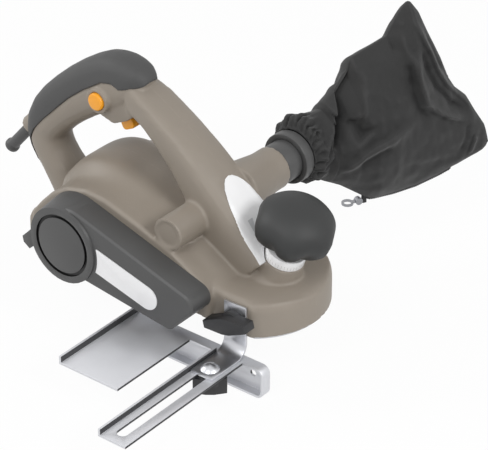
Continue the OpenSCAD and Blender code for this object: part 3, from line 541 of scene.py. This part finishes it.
BAG_LEAN = 0.45
FINISHES = {
    Slot.SHELL: Plastic(linear(143, 134, 123), 0.5, rubbed=0.25),
    Slot.GRIP: Plastic(linear(70, 70, 70), 0.62, 0.05 * MM, 0.7 * MM, 0.07, 0.2),
    Slot.DARK: Plastic(linear(75, 75, 75), 0.46, rubbed=0.25),
    Slot.WHITE: Plastic(linear(238, 238, 239), 0.3, 0.008 * MM, cloud=0.015, coat=0.3),
    Slot.ORANGE: Plastic(linear(245, 164, 28), 0.34, 0.012 * MM, cloud=0.04, coat=0.2),
    Slot.BLACK: Plastic(linear(36, 36, 38), 0.45, rubbed=0.3),
    Slot.SOLE: Metal(linear(205, 206, 209), 0.34, 0.02 * MM, (0.08, 1.0, 1.0)),
    Slot.BRIGHT: Metal(linear(205, 206, 210), 0.34, 0.004 * MM, cloud=0.03),
    Slot.MACHINED: Metal(linear(190, 191, 196), 0.3, 0.012 * MM, (1.0, 0.15, 1.0)),
    Slot.LAMINATED: Metal(linear(150, 144, 138), 0.48, 0.05 * MM, (0.2, 1.0, 0.2)),
    Slot.COPPER: Metal(linear(206, 140, 92), 0.32, 0.02 * MM, (1.0, 0.2, 1.0)),
    Slot.CARBON: Plastic(linear(48, 48, 50), 0.6, 0.05 * MM),
    Slot.BELT: Plastic(linear(40, 40, 41), 0.7, 0.06 * MM, 0.9 * MM),
    Slot.CLOTH: Weave(linear(34, 34, 34), turn=math.acos(BAG_LEAN)),
}
COVER_FINISH = CoverPlastic(linear(75, 75, 75), 0.46, rubbed=0.25)
KNOB_FINISH = Plastic(linear(43, 44, 44), 0.58, 0.03 * MM, rubbed=0.2)
TAPE_FINISH = Plastic(linear(38, 38, 39), 0.6, 0.05 * MM, 0.6 * MM, 0.08)
SHEET_FINISH = SheetSteel(linear(214, 215, 219), 0.45, 0.004 * MM, cloud=0.03)
RING_FINISH = ScalePlastic(linear(248, 248, 249), 0.32, 0.008 * MM, cloud=0.01, coat=0.3)
LEAF_FINISH = LeafPlastic(linear(248, 248, 249), 0.3, 0.008 * MM, cloud=0.01, coat=0.3)
PULL_FINISH = Metal(linear(150, 151, 155), 0.25, 0.004 * MM)
SPECIAL = {
    "belt_cover": COVER_FINISH,
    "depth_ring": RING_FINISH,
    "zip_pull": PULL_FINISH,
    "guide_bar": SHEET_FINISH,
    "fence_plate": SHEET_FINISH,
}


class Paint:
    """Makes each finish's material once and puts it on pieces."""

    def __init__(self) -> None:
        """Starts with no materials."""
        self.made: dict[Union[Slot, Finish], bpy.types.Material] = {}

    def of(self, key: Union[Slot, Finish], finish: Finish, name: str) -> bpy.types.Material:
        """The material of a finish, made the first time."""
        if key not in self.made:
            self.made[key] = finish.make(name)
        return self.made[key]

    def dress(self, piece: bpy.types.Object, slot: Slot, finish: Optional[Finish] = None) -> None:
        """Puts a slot's finish, or a special one, on a piece as its only material.

        Args:
            piece: The piece or CAD node.
            slot: The record's slot.
            finish: A finish that is used in place of the slot's own.
        """
        name = slot.value if finish is None else f"{slot.value}_{piece.name}"
        material = self.of(finish or slot, finish or FINISHES[slot], name)
        piece.data.materials.clear()
        piece.data.materials.append(material)


def cad_copy(names: Iterable[str], seam: bool = False) -> bmesh.types.BMesh:
    """One merged mesh of some CAD nodes.

    Args:
        names: The nodes.
        seam: Whether faces that lie in the middle plane, where two halves meet, are left out.

    Returns:
        The new mesh.
    """
    form = bmesh.new()
    for name in names:
        form.from_mesh(frame["nodes"][name].data)
    if seam:
        inner = [f for f in form.faces if all(abs(v.co.y) < IN_SEAM for v in f.verts)]
        bmesh.ops.delete(form, geom=inner, context="FACES")
    bmesh.ops.remove_doubles(form, verts=form.verts, dist=WELD)
    return form


def as_object(form: bmesh.types.BMesh, name: str, crease: float = 40.0) -> bpy.types.Object:
    """Ends a mesh and shows it as a piece at the origin.

    Args:
        form: The mesh, which is freed.
        name: The piece's name.
        crease: Edges that turn by more degrees than this stay crisp.

    Returns:
        The new object.
    """
    for face in form.faces:
        face.smooth = True
        face.material_index = 0
    limit = math.radians(crease)
    for edge in form.edges:
        edge.smooth = len(edge.link_faces) != 2 or edge.calc_face_angle(0.0) < limit
    mesh = bpy.data.meshes.new(name)
    form.to_mesh(mesh)
    form.free()
    for spare in ("custom_normal", "sharp_face"):
        layer = mesh.attributes.get(spare)
        if layer is not None:
            mesh.attributes.remove(layer)
    piece = bpy.data.objects.new(name, mesh)
    bpy.context.scene.collection.objects.link(piece)
    return piece


def even_mesh(form: bmesh.types.BMesh, cell: float) -> bmesh.types.BMesh:
    """The same closed form in even cells, so that smoothing acts alike all over it.

    Args:
        form: The mesh, which is freed.
        cell: The size of a cell in metres.

    Returns:
        The new mesh.
    """
    mesh = bpy.data.meshes.new("even_work")
    form.to_mesh(mesh)
    form.free()
    work = bpy.data.objects.new("even_work", mesh)
    bpy.context.scene.collection.objects.link(work)
    remesh = work.modifiers.new("even", "REMESH")
    remesh.mode = "VOXEL"
    remesh.voxel_size = cell
    remesh.adaptivity = 0.0
    shown = work.evaluated_get(bpy.context.evaluated_depsgraph_get())
    even = bmesh.new()
    even.from_mesh(shown.to_mesh())
    shown.to_mesh_clear()
    bpy.data.objects.remove(work)
    bpy.data.meshes.remove(mesh)
    return even


def calm(form: bmesh.types.BMesh, gentle: float, rounds: int, overall: int) -> None:
    """Smooths broad faces strongly and crisp edges a little.

    Args:
        form: The mesh that is smoothed.
        gentle: Points whose edges turn by fewer degrees than this count as broad faces.
        rounds: Rounds on the broad faces.
        overall: Rounds on everything at the end.
    """
    limit = math.radians(gentle)
    broad = [v for v in form.verts if all(e.calc_face_angle(9.0) < limit for e in v.link_edges)]
    for _ in range(rounds):
        bmesh.ops.smooth_vert(form, verts=broad, **SMOOTHING)
    for _ in range(overall):
        bmesh.ops.smooth_vert(form, verts=form.verts, **SMOOTHING)


def rounded(name: str, width: float, segments: int = 2, angle: float = 32.0) -> bmesh.types.BMesh:
    """A CAD node's mesh with its crisp edges broken.

    Args:
        name: The node.
        width: The width of the broken edge in metres.
        segments: Faces across it.
        angle: Edges that turn by more degrees than this are broken.

    Returns:
        The new mesh.
    """
    form = cad_copy([name])
    bmesh.ops.dissolve_limit(
        form, angle_limit=NEARLY_FLAT, use_dissolve_boundaries=False,
        verts=form.verts, edges=form.edges, delimit=set(),
    )
    limit = math.radians(angle)
    crisp = [e for e in form.edges if len(e.link_faces) == 2 and e.calc_face_angle(0.0) > limit]
    bmesh.ops.bevel(
        form, geom=crisp, offset=width, offset_type="OFFSET", affect="EDGES",
        segments=segments, profile=0.5, material=-1, clamp_overlap=True, loop_slide=True,
    )
    return form


def stand_for(piece: bpy.types.Object, body: str, slot: Slot, *nodes: str) -> None:
    """Rides a piece on a body in place of CAD nodes.

    Args:
        piece: The piece.
        body: The CAD body that carries it.
        slot: The record's slot; not used.
        nodes: The CAD nodes that it stands for.
    """
    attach(piece, body)
    if nodes:
        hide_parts(*nodes)
    LOG.info("%s: %d faces on %s", piece.name, len(piece.data.polygons), body)


@dataclass
class Housing:
    """The two moulded halves as one flowing form that is parted again in the middle plane."""

    paint: Paint
    cell: float = 1.15 * MM
    gentle: float = 11.0
    rounds: int = 22
    overall: int = 2
    hump_from: Point = (-100 * MM, -43 * MM, 58 * MM)
    hump_to: Point = (-6 * MM, 43 * MM, 90 * MM)
    hump_rounds: int = 110
    upward: float = 0.05
    halves: tuple[tuple[str, str, int], ...] = (
        ("housing_near", "near_housing", -1),
        ("housing_far", "far_housing", 1),
    )

    def ease(self, form: bmesh.types.BMesh) -> None:
        """Lets the motor hump's shoulders flow down to the flanks.

        Args:
            form: The housing's mesh.
        """
        form.normal_update()
        ends = tuple(zip(self.hump_from, self.hump_to))
        outer = [v for v in form.verts if v.normal.z > self.upward]
        hump = [v for v in outer if all(low < part < high for part, (low, high) in zip(v.co, ends))]
        for _ in range(self.hump_rounds):
            bmesh.ops.smooth_vert(form, verts=hump, **SMOOTHING)

    def build(self) -> None:
        """Makes both halves."""
        whole = even_mesh(cad_copy(["near_housing", "far_housing"], seam=True), self.cell)
        self.ease(whole)
        calm(whole, self.gentle, self.rounds, self.overall)
        for name, node, side in self.halves:
            half = whole.copy()
            cut = bmesh.ops.bisect_plane(
                half, geom=half.verts[:] + half.edges[:] + half.faces[:], dist=0.01 * MM,
                plane_co=(0.0, 0.0, 0.0), plane_no=(0.0, -side, 0.0), clear_outer=True,
            )
            rim = [e for e in cut["geom_cut"] if isinstance(e, bmesh.types.BMEdge)]
            bmesh.ops.triangle_fill(half, use_beauty=True, use_dissolve=False, edges=rim)
            piece = as_object(half, name)
            stand_for(piece, "machine", Slot.SHELL, node)
            self.paint.dress(piece, Slot.SHELL)
        whole.free()


@dataclass(frozen=True)
class SkinPlan:
    """How one moulded node's skin is made."""

    node: str
    body: str
    slot: Slot
    cell: float
    rounds: int
    overall: int
    finish: Optional[Finish] = None


@dataclass
class Mouldings:
    """The other moulded pieces whose faceted solids are evened out and smoothed.

    The knob's finger hollows are given in millimetres, their width in degrees.
    """

    paint: Paint
    gentle: float = 17.0
    hollows: int = 6
    hollow_at: float = 20.0
    hollow_tall: float = 8.0
    hollow_wide: float = 9.0
    hollow_deep: float = 2.0
    core: float = 8.0
    plans: tuple[SkinPlan, ...] = (
        SkinPlan("grip_overmould", "machine", Slot.GRIP, 0.8 * MM, 24, 2),
        SkinPlan("depth_knob", "knob", Slot.DARK, 0.7 * MM, 40, 3, KNOB_FINISH),
        SkinPlan("front_panel", "machine", Slot.WHITE, 0.45 * MM, 20, 1, LEAF_FINISH),
    )

    def build(self) -> None:
        """Makes each skin."""
        for plan in self.plans:
            form = even_mesh(cad_copy([plan.node]), plan.cell)
            calm(form, self.gentle, plan.rounds, plan.overall)
            if plan.node == "depth_knob":
                self.scallop(form)
            piece = as_object(form, f"{plan.node}_skin")
            stand_for(piece, plan.body, plan.slot, plan.node)
            self.paint.dress(piece, plan.slot, plan.finish)

    def scallop(self, form: bmesh.types.BMesh) -> None:
        """Draws in the finger hollows between the knob's lobes, round its lower rim.

        Args:
            form: The knob's mesh.
        """
        foot, tilt = Vector(RING_FINISH.foot), RING_FINISH.tilt
        axis = Vector((math.sin(tilt), 0.0, math.cos(tilt)))
        front = Vector((math.cos(tilt), 0.0, -math.sin(tilt)))
        step = 360 / self.hollows
        for vert in form.verts:
            spot = vert.co - foot
            high = spot.dot(axis)
            out = spot - axis * high
            angle = math.degrees(math.atan2(out.y, out.dot(front)))
            off = abs(angle % step - step / 2) / self.hollow_wide
            level = (high / MM - self.hollow_at) / self.hollow_tall
            depth = self.hollow_deep * math.exp(-(off**2) - level**2)
            if out.length > self.core * MM:
                vert.co -= out.normalized() * depth * MM


@dataclass
class Fittings:
    """Pieces whose CAD form is right and whose edges only need breaking."""

    paint: Paint
    pieces: tuple[tuple[str, str, Slot, float], ...] = (
        ("guide_bracket", "machine", Slot.BRIGHT, 0.3 * MM),
        ("guide_bar", "fence", Slot.BRIGHT, 0.3 * MM),
        ("fence_plate", "fence", Slot.BRIGHT, 0.35 * MM),
        ("bracket_knob", "clamp_knob", Slot.BLACK, 0.9 * MM),
        ("wing_nut", "nut", Slot.BLACK, 0.9 * MM),
        ("trigger", "trigger_key", Slot.ORANGE, 0.8 * MM),
        ("lock_button", "lock", Slot.ORANGE, 0.9 * MM),
        ("belt_cover", "machine", Slot.DARK, 0.9 * MM),
        ("cord_guard", "machine", Slot.DARK, 0.5 * MM),
        ("chip_adapter", "bag", Slot.DARK, 0.5 * MM),
        ("bag_collar", "bag", Slot.DARK, 0.9 * MM),
        ("label_plate", "machine", Slot.WHITE, 0.25 * MM),
        ("depth_ring", "knob", Slot.WHITE, 0.5 * MM),
        ("park_foot", "foot", Slot.DARK, 0.7 * MM),
        ("rear_shoe", "machine", Slot.SOLE, 0.4 * MM),
        ("front_shoe", "front_sole", Slot.SOLE, 0.5 * MM),
    )

    def build(self) -> None:
        """Makes each piece."""
        for node, body, slot, width in self.pieces:
            piece = as_object(rounded(node, width), f"{node}_edged")
            stand_for(piece, body, slot, node)
            self.paint.dress(piece, slot, SPECIAL.get(node))


@dataclass(frozen=True)
class Fold:
    """A crease or ridge in the bag's cloth, along a line in the bag's own plane.

    Its lengths are in millimetres: the line's places by reach and height, the ridge's height, and its width
    to the left and to the right of the line.
    """

    line: tuple[tuple[float, float], ...]
    height: float
    left: float
    right: float
    back: bool = False

    def lift(self, reach: float, up: float) -> float:
        """How far the fold lifts the cloth at a place in the bag's plane.

        Args:
            reach: Millimetres along the bag from its mouth.
            up: Millimetres above the mouth's middle.

        Returns:
            The lift in millimetres, below zero in a crease.
        """
        room = FOLD_REACH * max(self.left, self.right)
        for value, places in zip((reach, up), zip(*self.line)):
            if not min(places) - room < value < max(places) + room:
                return 0.0
        spot = Vector((reach, up))
        best, side, share = math.inf, 0.0, 0.0
        steps = len(self.line) - 1
        for number in range(steps):
            start = Vector(self.line[number])
            way = Vector(self.line[number + 1]) - start
            part = max(0.0, min(1.0, (spot - start).dot(way) / way.length_squared))
            off = spot - start - way * part
            if off.length < best:
                best = off.length
                side = way.x * off.y - way.y * off.x
                share = (number + part) / steps
        fade = min(1.0, FOLD_FADE * share + FOLD_END, FOLD_FADE * (1 - share) + FOLD_END)
        wide = self.left if side > 0 else self.right
        return self.height * fade * math.exp(-((best / wide) ** 2))


def along(table: Sequence[tuple[float, float]], at: float) -> float:
    """A value on the straight line between two rows of a table, or its first or last one."""
    if at <= table[0][0]:
        return table[0][1]
    for (low, first), (high, second) in zip(table, table[1:]):
        if at <= high:
            share = (at - low) / (high - low)
            return first + (second - first) * share
    return table[-1][1]


@dataclass
class DustBag:
    """The cloth bag: a lofted shell gathered at its collar, with a high corner, folds and a zip hem.

    Its lengths are in millimetres. Top, low and bulk give the outline's upper edge, its lower edge and half
    the thickness, by the reach along the bag from its mouth.
    """

    paint: Paint
    mouth: Point = (34.0, 85.5, 74.0)
    turn: float = 34.0
    length: float = 177.0
    rows: int = 220
    sides: int = 190
    cloth: float = 0.7
    edge_power: float = 0.3
    taut: float = 10.0
    gather_at: float = 5.0
    gather_wide: float = 10.0
    gather_deep: float = 0.055
    pleats: tuple[int, int] = (15, 27)
    crumple: tuple[float, float] = (1.6, 0.7)
    far_end: float = 50.0
    zip_reach: tuple[float, float] = (66.5, 144.0)
    tape_top: float = 2.2
    tape_high: float = 2.6
    tape_thick: float = 1.6
    tooth_pitch: float = 1.6
    tooth: Point = (0.9, 2.6, 1.2)
    tooth_drop: float = -0.7
    slider: Point = (3.2, 3.0, 5.6)
    slider_drop: float = -2.6
    slider_at: float = 1.2
    top: tuple[tuple[float, float], ...] = (
        (0, 20.8), (2, 24), (4, 27.5), (7, 29), (12, 28.6), (18, 27.2), (26, 27), (30.4, 27.6),
        (31.2, 31.8), (32, 33.6), (40.2, 41.8), (50, 57), (51.4, 63.4), (53, 67.4), (80.5, 78.5),
        (83.4, 79.6), (84.4, 81.2), (91, 94.2), (97.5, 102.8), (100.2, 105.2), (102.4, 104.2),
        (109, 95.5), (116.8, 78.8), (129.6, 53.2), (138.5, 32.2), (144.2, 23), (154.8, 13.2),
        (164.2, -2.8), (173.2, -16.8), (176.2, -26.8), (177, -31),
    )
    low: tuple[tuple[float, float], ...] = (
        (0, -20.8), (4, -24.5), (12.8, -27.8), (22, -28.8), (44.8, -40.8), (62, -53.2), (66.5, -56.5),
        (72, -59.4), (76.5, -59.9), (93.8, -59.9), (113.5, -58), (134.8, -52.8), (161.2, -43.9),
        (171.8, -40), (175, -37.5), (177, -34),
    )
    bulk: tuple[tuple[float, float], ...] = (
        (0, 20.4), (5, 23.5), (12, 25), (22, 24), (34, 27), (48, 30), (66, 31), (84, 29), (100, 25),
        (112, 21), (130, 16), (145, 12), (160, 9), (170, 6), (177, 2),
    )
    folds: tuple[Fold, ...] = (
        Fold(((52, 65), (48, 55), (44, 48), (40, 40), (37, 32), (32, 22), (28, 12), (26, 5)),
             -18.0, 6.0, 1.0),
        Fold(((49, 60), (43.5, 50), (38.5, 41), (35, 33), (30, 23), (25, 12)), 6.0, 2.4, 4.0),
        Fold(((54, 65), (55, 58), (54, 48), (50, 36), (46, 24)), 4.0, 4.5, 3.0),
        Fold(((25, 33), (31, 30), (33, 28.5), (37, 26)), -6.0, 0.9, 4.0),
        Fold(((26, 35), (31, 33), (35, 31)), 3.0, 3.0, 1.6),
        Fold(((4, 25), (8, 23), (13, 20)), -4.0, 1.2, 2.4),
        Fold(((13.5, 20), (6, 19.5), (1, 18)), -3.2, 1.6, 1.2),
        Fold(((34, 29), (30, 22), (24, 17), (17, 8), (10, 3), (6, -9)), 3.0, 2.6, 3.6),
        Fold(((27, 3), (17, -3), (5, -9)), 2.2, 2.0, 2.4),
        Fold(((22, -4), (12, -10), (4, -16)), -2.0, 2.2, 2.0),
        Fold(((88, 12), (74, 8), (62, 4), (50, -2), (41, -9), (35, -16)), 5.0, 5.5, 3.4),
        Fold(((43, 27), (48, 20), (54, 12)), -7.5, 7.0, 6.0),
        Fold(((76, 0), (60, -6), (46, -14)), -2.2, 4.0, 7.0),
        Fold(((95, 72), (97, 63), (98, 56), (100, 47), (106, 29), (118, 18), (131, 8), (150, -3)),
             6.0, 4.0, 2.2),
        Fold(((93, 70), (93, 55), (95, 40), (101, 24), (112, 12)), -4.0, 2.2, 6.0),
        Fold(((105, 70), (108, 60), (112, 47), (120, 34), (136, 15), (154, 1)), -5.0, 3.0, 3.2),
        Fold(((101, 93), (104, 86), (107, 79), (114, 67), (119, 54), (123, 46), (131, 34), (151, 13),
              (159, 3)), 5.2, 2.6, 2.0),
        Fold(((108, 88), (116, 70), (124, 52), (134, 36), (150, 20)), -2.4, 2.0, 2.0),
        Fold(((87, 91), (90, 91.5), (94, 91)), 1.8, 1.6, 1.6),
        Fold(((81, 83), (86, 86), (90, 86)), -3.4, 2.0, 2.6),
        Fold(((85, 86), (84, 80), (84.5, 70)), -2.8, 2.4, 2.0),
        Fold(((90, 87), (90, 78), (93, 70), (94, 60)), 2.2, 2.2, 2.6),
        Fold(((161, -20), (159, -27), (157, -37)), 2.6, 2.8, 1.6),
        Fold(((154, -6), (152, -20), (148, -34)), -1.8, 3.0, 3.6),
        Fold(((90, -28), (120, -33), (150, -38)), -1.6, 5.0, 5.0),
        Fold(((48, 56), (44, 20), (46, -14)), -7.0, 6.0, 2.0, True),
        Fold(((104, 86), (110, 40), (128, 4)), 4.0, 4.0, 4.0, True),
        Fold(((90, 80), (84, 30), (88, -10)), -4.0, 5.0, 3.0, True),
        Fold(((30, -20), (70, -12), (110, -26)), 4.0, 6.0, 4.0, True),
        Fold(((60, 50), (72, 10), (66, -30)), 3.0, 5.0, 5.0, True),
    )

    def spot(self, reach: float) -> tuple[Vector, Vector, float]:
        """Where the bag's middle is at a reach along it.

        Args:
            reach: Millimetres along the bag from its mouth.

        Returns:
            The middle in plan, the direction across the bag there, and how far it has turned.
        """
        run = math.sqrt(1 - BAG_LEAN**2)
        share = min(reach / self.turn, 1.0)
        if reach < self.turn:
            across = reach * share / 2
            out = reach * (1 - (1 - run) * share / 2)
        else:
            across = reach - self.turn / 2
            out = self.turn * (1 + run) / 2 + run * (reach - self.turn)
        middle = Vector((self.mouth[0] + BAG_LEAN * across, self.mouth[1] + out, self.mouth[2]))
        side = Vector((run, -BAG_LEAN, 0.0)) * share + Vector((1.0, 0.0, 0.0)) * (1 - share)
        return middle, side, share

    def gathering(self, reach: float, angle: float) -> float:
        """The pleats of the gathered neck, which fade along the bag.

        Args:
            reach: Millimetres along the bag from its mouth.
            angle: The angle round the bag from the side that faces forward.

        Returns:
            The share by which the cloth stands out there, below zero in a pleat's valley.
        """
        near = math.exp(-(((reach - self.gather_at) / self.gather_wide) ** 2)) * min(1.0, reach / 2.0)
        many, more = self.pleats
        ripple = math.sin(many * angle + 1.1 * math.sin(3 * angle) + reach * 0.09)
        ripple += 0.7 * math.sin(more * angle + 1.7 - reach * 0.2)
        return self.gather_deep * near * ripple

    def cloth_point(self, reach: float, angle: float) -> Vector:
        """A point of the cloth.

        Args:
            reach: Millimetres along the bag from its mouth.
            angle: The angle round the bag from the side that faces forward.

        Returns:
            The point in metres.
        """
        middle, side, share = self.spot(reach)
        high, under = along(self.top, reach), along(self.low, reach)
        cosine = math.cos(angle)
        front = cosine > 0
        face = math.copysign(1.0, cosine)
        pleat = 1 + self.gathering(reach, angle)
        out = pleat * along(self.bulk, reach) * face * abs(cosine) ** (1.0 + self.edge_power * share)
        up = (high + under) / 2 + (high - under) / 2 * math.sin(angle) * pleat
        slack = min(1.0, reach / self.taut) * abs(cosine) ** 0.6
        lift = sum(f.lift(reach, up) for f in self.folds if f.back == (cosine < 0))
        grain = noise.noise(Vector((reach * 0.05, up * 0.09, 3.0 if front else 9.0)))
        fine = noise.noise(Vector((reach * 0.16 + up * 0.05, up * 0.12, 5.0 if front else 2.0)))
        out += face * slack * (lift + self.crumple[0] * grain + self.crumple[1] * fine)
        return (middle + side * out + Vector((0.0, 0.0, up))) * MM

    def build(self) -> None:
        """Makes the bag and its zip."""
        self.hem_tape()
        shell = bmesh.new()
        bmesh.ops.create_grid(shell, x_segments=self.rows, y_segments=self.sides, size=0.5)
        for vert in shell.verts:
            reach = (vert.co.x + 0.5) * self.length
            vert.co = self.cloth_point(reach, (vert.co.y + 0.5) * 2 * math.pi)
        bmesh.ops.remove_doubles(shell, verts=shell.verts, dist=0.02 * MM)
        rims = [e for e in shell.edges if e.is_boundary]
        far_rim = [e for e in rims if e.verts[0].co.y > (self.mouth[1] + self.far_end) * MM]
        bmesh.ops.holes_fill(shell, edges=far_rim, sides=0)
        bmesh.ops.recalc_face_normals(shell, faces=shell.faces)
        piece = as_object(shell, "bag_cloth_shell", 70.0)
        wall = piece.modifiers.new("cloth", "SOLIDIFY")
        wall.thickness = self.cloth * MM
        wall.offset = -1.0
        stand_for(piece, "bag", Slot.CLOTH, "dust_bag")
        self.paint.dress(piece, Slot.CLOTH)

    def block(self, form: bmesh.types.BMesh, reach: float, size: Point, drop: float) -> None:
        """Adds a small block under the hem, square to the bag's plane.

        Args:
            form: The mesh that it is added to.
            reach: Millimetres along the bag from its mouth.
            size: Its length along the hem, its width and its height in millimetres.
            drop: How far its middle lies above the hem, below zero under it.
        """
        middle, side, _ = self.spot(reach)
        made = bmesh.ops.create_cube(form, size=1.0)["verts"]
        bmesh.ops.scale(form, verts=made, vec=[part * MM for part in size])
        turn = Matrix.Rotation(math.atan2(side.y, side.x) + math.pi / 2, 3, "Z")
        bmesh.ops.rotate(form, verts=made, cent=(0.0, 0.0, 0.0), matrix=turn)
        spot = middle + Vector((0.0, 0.0, along(self.low, reach) + drop))
        bmesh.ops.translate(form, verts=made, vec=spot * MM)

    def hem_tape(self) -> None:
        """Makes the zip's slim tape along the lower hem, with its row of teeth and its slider."""
        first, last = self.zip_reach
        tape = bmesh.new()
        bmesh.ops.create_grid(tape, x_segments=60, y_segments=2, size=0.5)
        for vert in tape.verts:
            reach = first + (last - first) * (vert.co.x + 0.5)
            middle, _, _ = self.spot(reach)
            drop = along(self.low, reach) + self.tape_top - self.tape_high * (vert.co.y + 0.5)
            vert.co = (middle + Vector((0.0, 0.0, drop))) * MM
        bmesh.ops.recalc_face_normals(tape, faces=tape.faces)
        bmesh.ops.solidify(tape, geom=tape.faces[:], thickness=self.tape_thick * MM)
        count = int((last - first) / self.tooth_pitch)
        for number in range(count):
            reach = first + (number + 0.5) * self.tooth_pitch
            self.block(tape, reach, self.tooth, self.tooth_drop)
        self.block(tape, first + self.slider_at, self.slider, self.slider_drop)
        piece = as_object(tape, "zip_tape", 30.0)
        stand_for(piece, "bag", Slot.CLOTH, "bag_zip")
        self.paint.dress(piece, Slot.CLOTH, TAPE_FINISH)


@dataclass(frozen=True)
class Lamp:
    """A soft square lamp that faces a point; its side is in metres and its power in watts."""

    name: str
    place: Point
    aim: Point
    size: float
    power: float

    def hang(self) -> None:
        """Hangs the lamp in the scene."""
        data = bpy.data.lights.new(self.name, "AREA")
        data.shape = "SQUARE"
        data.size = self.size
        data.energy = self.power
        light = bpy.data.objects.new(self.name, data)
        light.location = self.place
        way = Vector(self.aim) - Vector(self.place)
        light.rotation_euler = way.to_track_quat("-Z", "Y").to_euler()
        bpy.context.scene.collection.objects.link(light)


@dataclass
class Studio:
    """The pale floor, the soft light and the camera."""

    azimuth: float = 38.3
    elevation: float = 31.2
    focal_px: float = 2400.0
    picture_px: int = 488
    place: Point = (0.9871, -1.1818, 0.9713)
    sensor: float = 36.0
    floor_size: float = 6.0
    floor_gap: float = 0.3 * MM
    floor_tones: tuple[Colour, Colour] = ((0.86, 0.86, 0.86), (0.9, 0.9, 0.9))
    floor_cloud: float = 0.4
    floor_glow: float = 0.95
    sky: float = 0.45
    lamps: tuple[Lamp, ...] = (
        Lamp("key", (0.3, -1.5, 1.6), (0.0, 0.0, 0.05), 0.9, 12.0),
        Lamp("side", (-1.6, -0.7, 1.2), (0.05, 0.0, 0.05), 0.6, 12.0),
        Lamp("front", (1.6, -0.1, 1.2), (0.05, 0.0, 0.05), 0.6, 14.0),
    )

    def camera(self) -> None:
        """Sets the camera at the photograph's viewing angle."""
        data = bpy.data.cameras.new("camera")
        data.sensor_fit = "HORIZONTAL"
        data.sensor_width = self.sensor
        data.lens = self.focal_px * self.sensor / self.picture_px
        data.clip_start = 0.05
        data.clip_end = 40.0
        eye = bpy.data.objects.new("camera", data)
        turn, rise = math.radians(self.azimuth), math.radians(self.elevation)
        back = Vector((
            math.sin(turn) * math.cos(rise), -math.cos(turn) * math.cos(rise), math.sin(rise),
        ))
        eye.location = self.place
        eye.rotation_euler = (-back).to_track_quat("-Z", "Y").to_euler()
        bpy.context.scene.collection.objects.link(eye)
        bpy.context.scene.camera = eye

    def seen_white(self, graph: Graph) -> Wire:
        """1 for rays from the camera, mirrors and glass."""
        names = ("Is Camera Ray", "Is Glossy Ray", "Is Transmission Ray")
        first, second, third = (graph.node("ShaderNodeLightPath", out=n) for n in names)
        return first.greatest(second).greatest(third)

    def floor(self, height: float) -> None:
        """Lays the floor at a height in metres."""
        form = bmesh.new()
        bmesh.ops.create_grid(form, x_segments=1, y_segments=1, size=self.floor_size)
        bmesh.ops.translate(form, verts=form.verts, vec=(0.0, 0.0, height))
        piece = as_object(form, "floor")
        graph = Graph.start("floor_paper")
        shade = graph.noise(graph.place(), self.floor_cloud, 2.0)
        graph.finish(Base_Color=graph.mix(shade, *self.floor_tones), Roughness=0.9)
        glow = graph.node("ShaderNodeEmission", None, {"Color": (1.0, 1.0, 1.0, 1.0), "Strength": 1.0})
        paper = Wire(graph, graph.shader.outputs[0])
        values = {0: self.seen_white(graph) * self.floor_glow, 1: paper, 2: glow}
        both = graph.node("ShaderNodeMixShader", None, values)
        graph.put(graph.tree.nodes["Material Output"].inputs["Surface"], both)
        piece.data.materials.append(graph.holder)
        piece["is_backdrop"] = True

    def world(self) -> None:
        """Sets an even pale sky that the camera sees as white."""
        world = bpy.data.worlds.new("studio")
        bpy.context.scene.world = world
        graph = Graph(world)
        shader = graph.tree.nodes["Background"]
        shader.inputs["Color"].default_value = (1.0, 1.0, 1.0, 1.0)
        graph.put(shader.inputs["Strength"], self.seen_white(graph) * (1 - self.sky) + self.sky)

    def build(self) -> None:
        """Makes the studio round the finished object."""
        bpy.context.scene.view_settings.view_transform = "Standard"
        self.floor(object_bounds()[0].z - self.floor_gap)
        self.world()
        for lamp in self.lamps:
            lamp.hang()


def dress_frame(paint: Paint) -> None:
    """Gives every CAD node its slot's finish.

    Args:
        paint: The maker of materials.
    """
    for row in frame["record"]["subparts"]:
        name = row["node"]
        paint.dress(frame["nodes"][name], Slot(row["material_slot"]), SPECIAL.get(name))


def main() -> None:
    """Builds everything in order."""
    logging.basicConfig(level=logging.INFO, format="%(message)s")
    studio = Studio()
    studio.camera()
    paint = Paint()
    dress_frame(paint)
    Housing(paint).build()
    Mouldings(paint).build()
    Fittings(paint).build()
    DustBag(paint).build()
    studio.build()


if __name__ == "__main__":
    main()
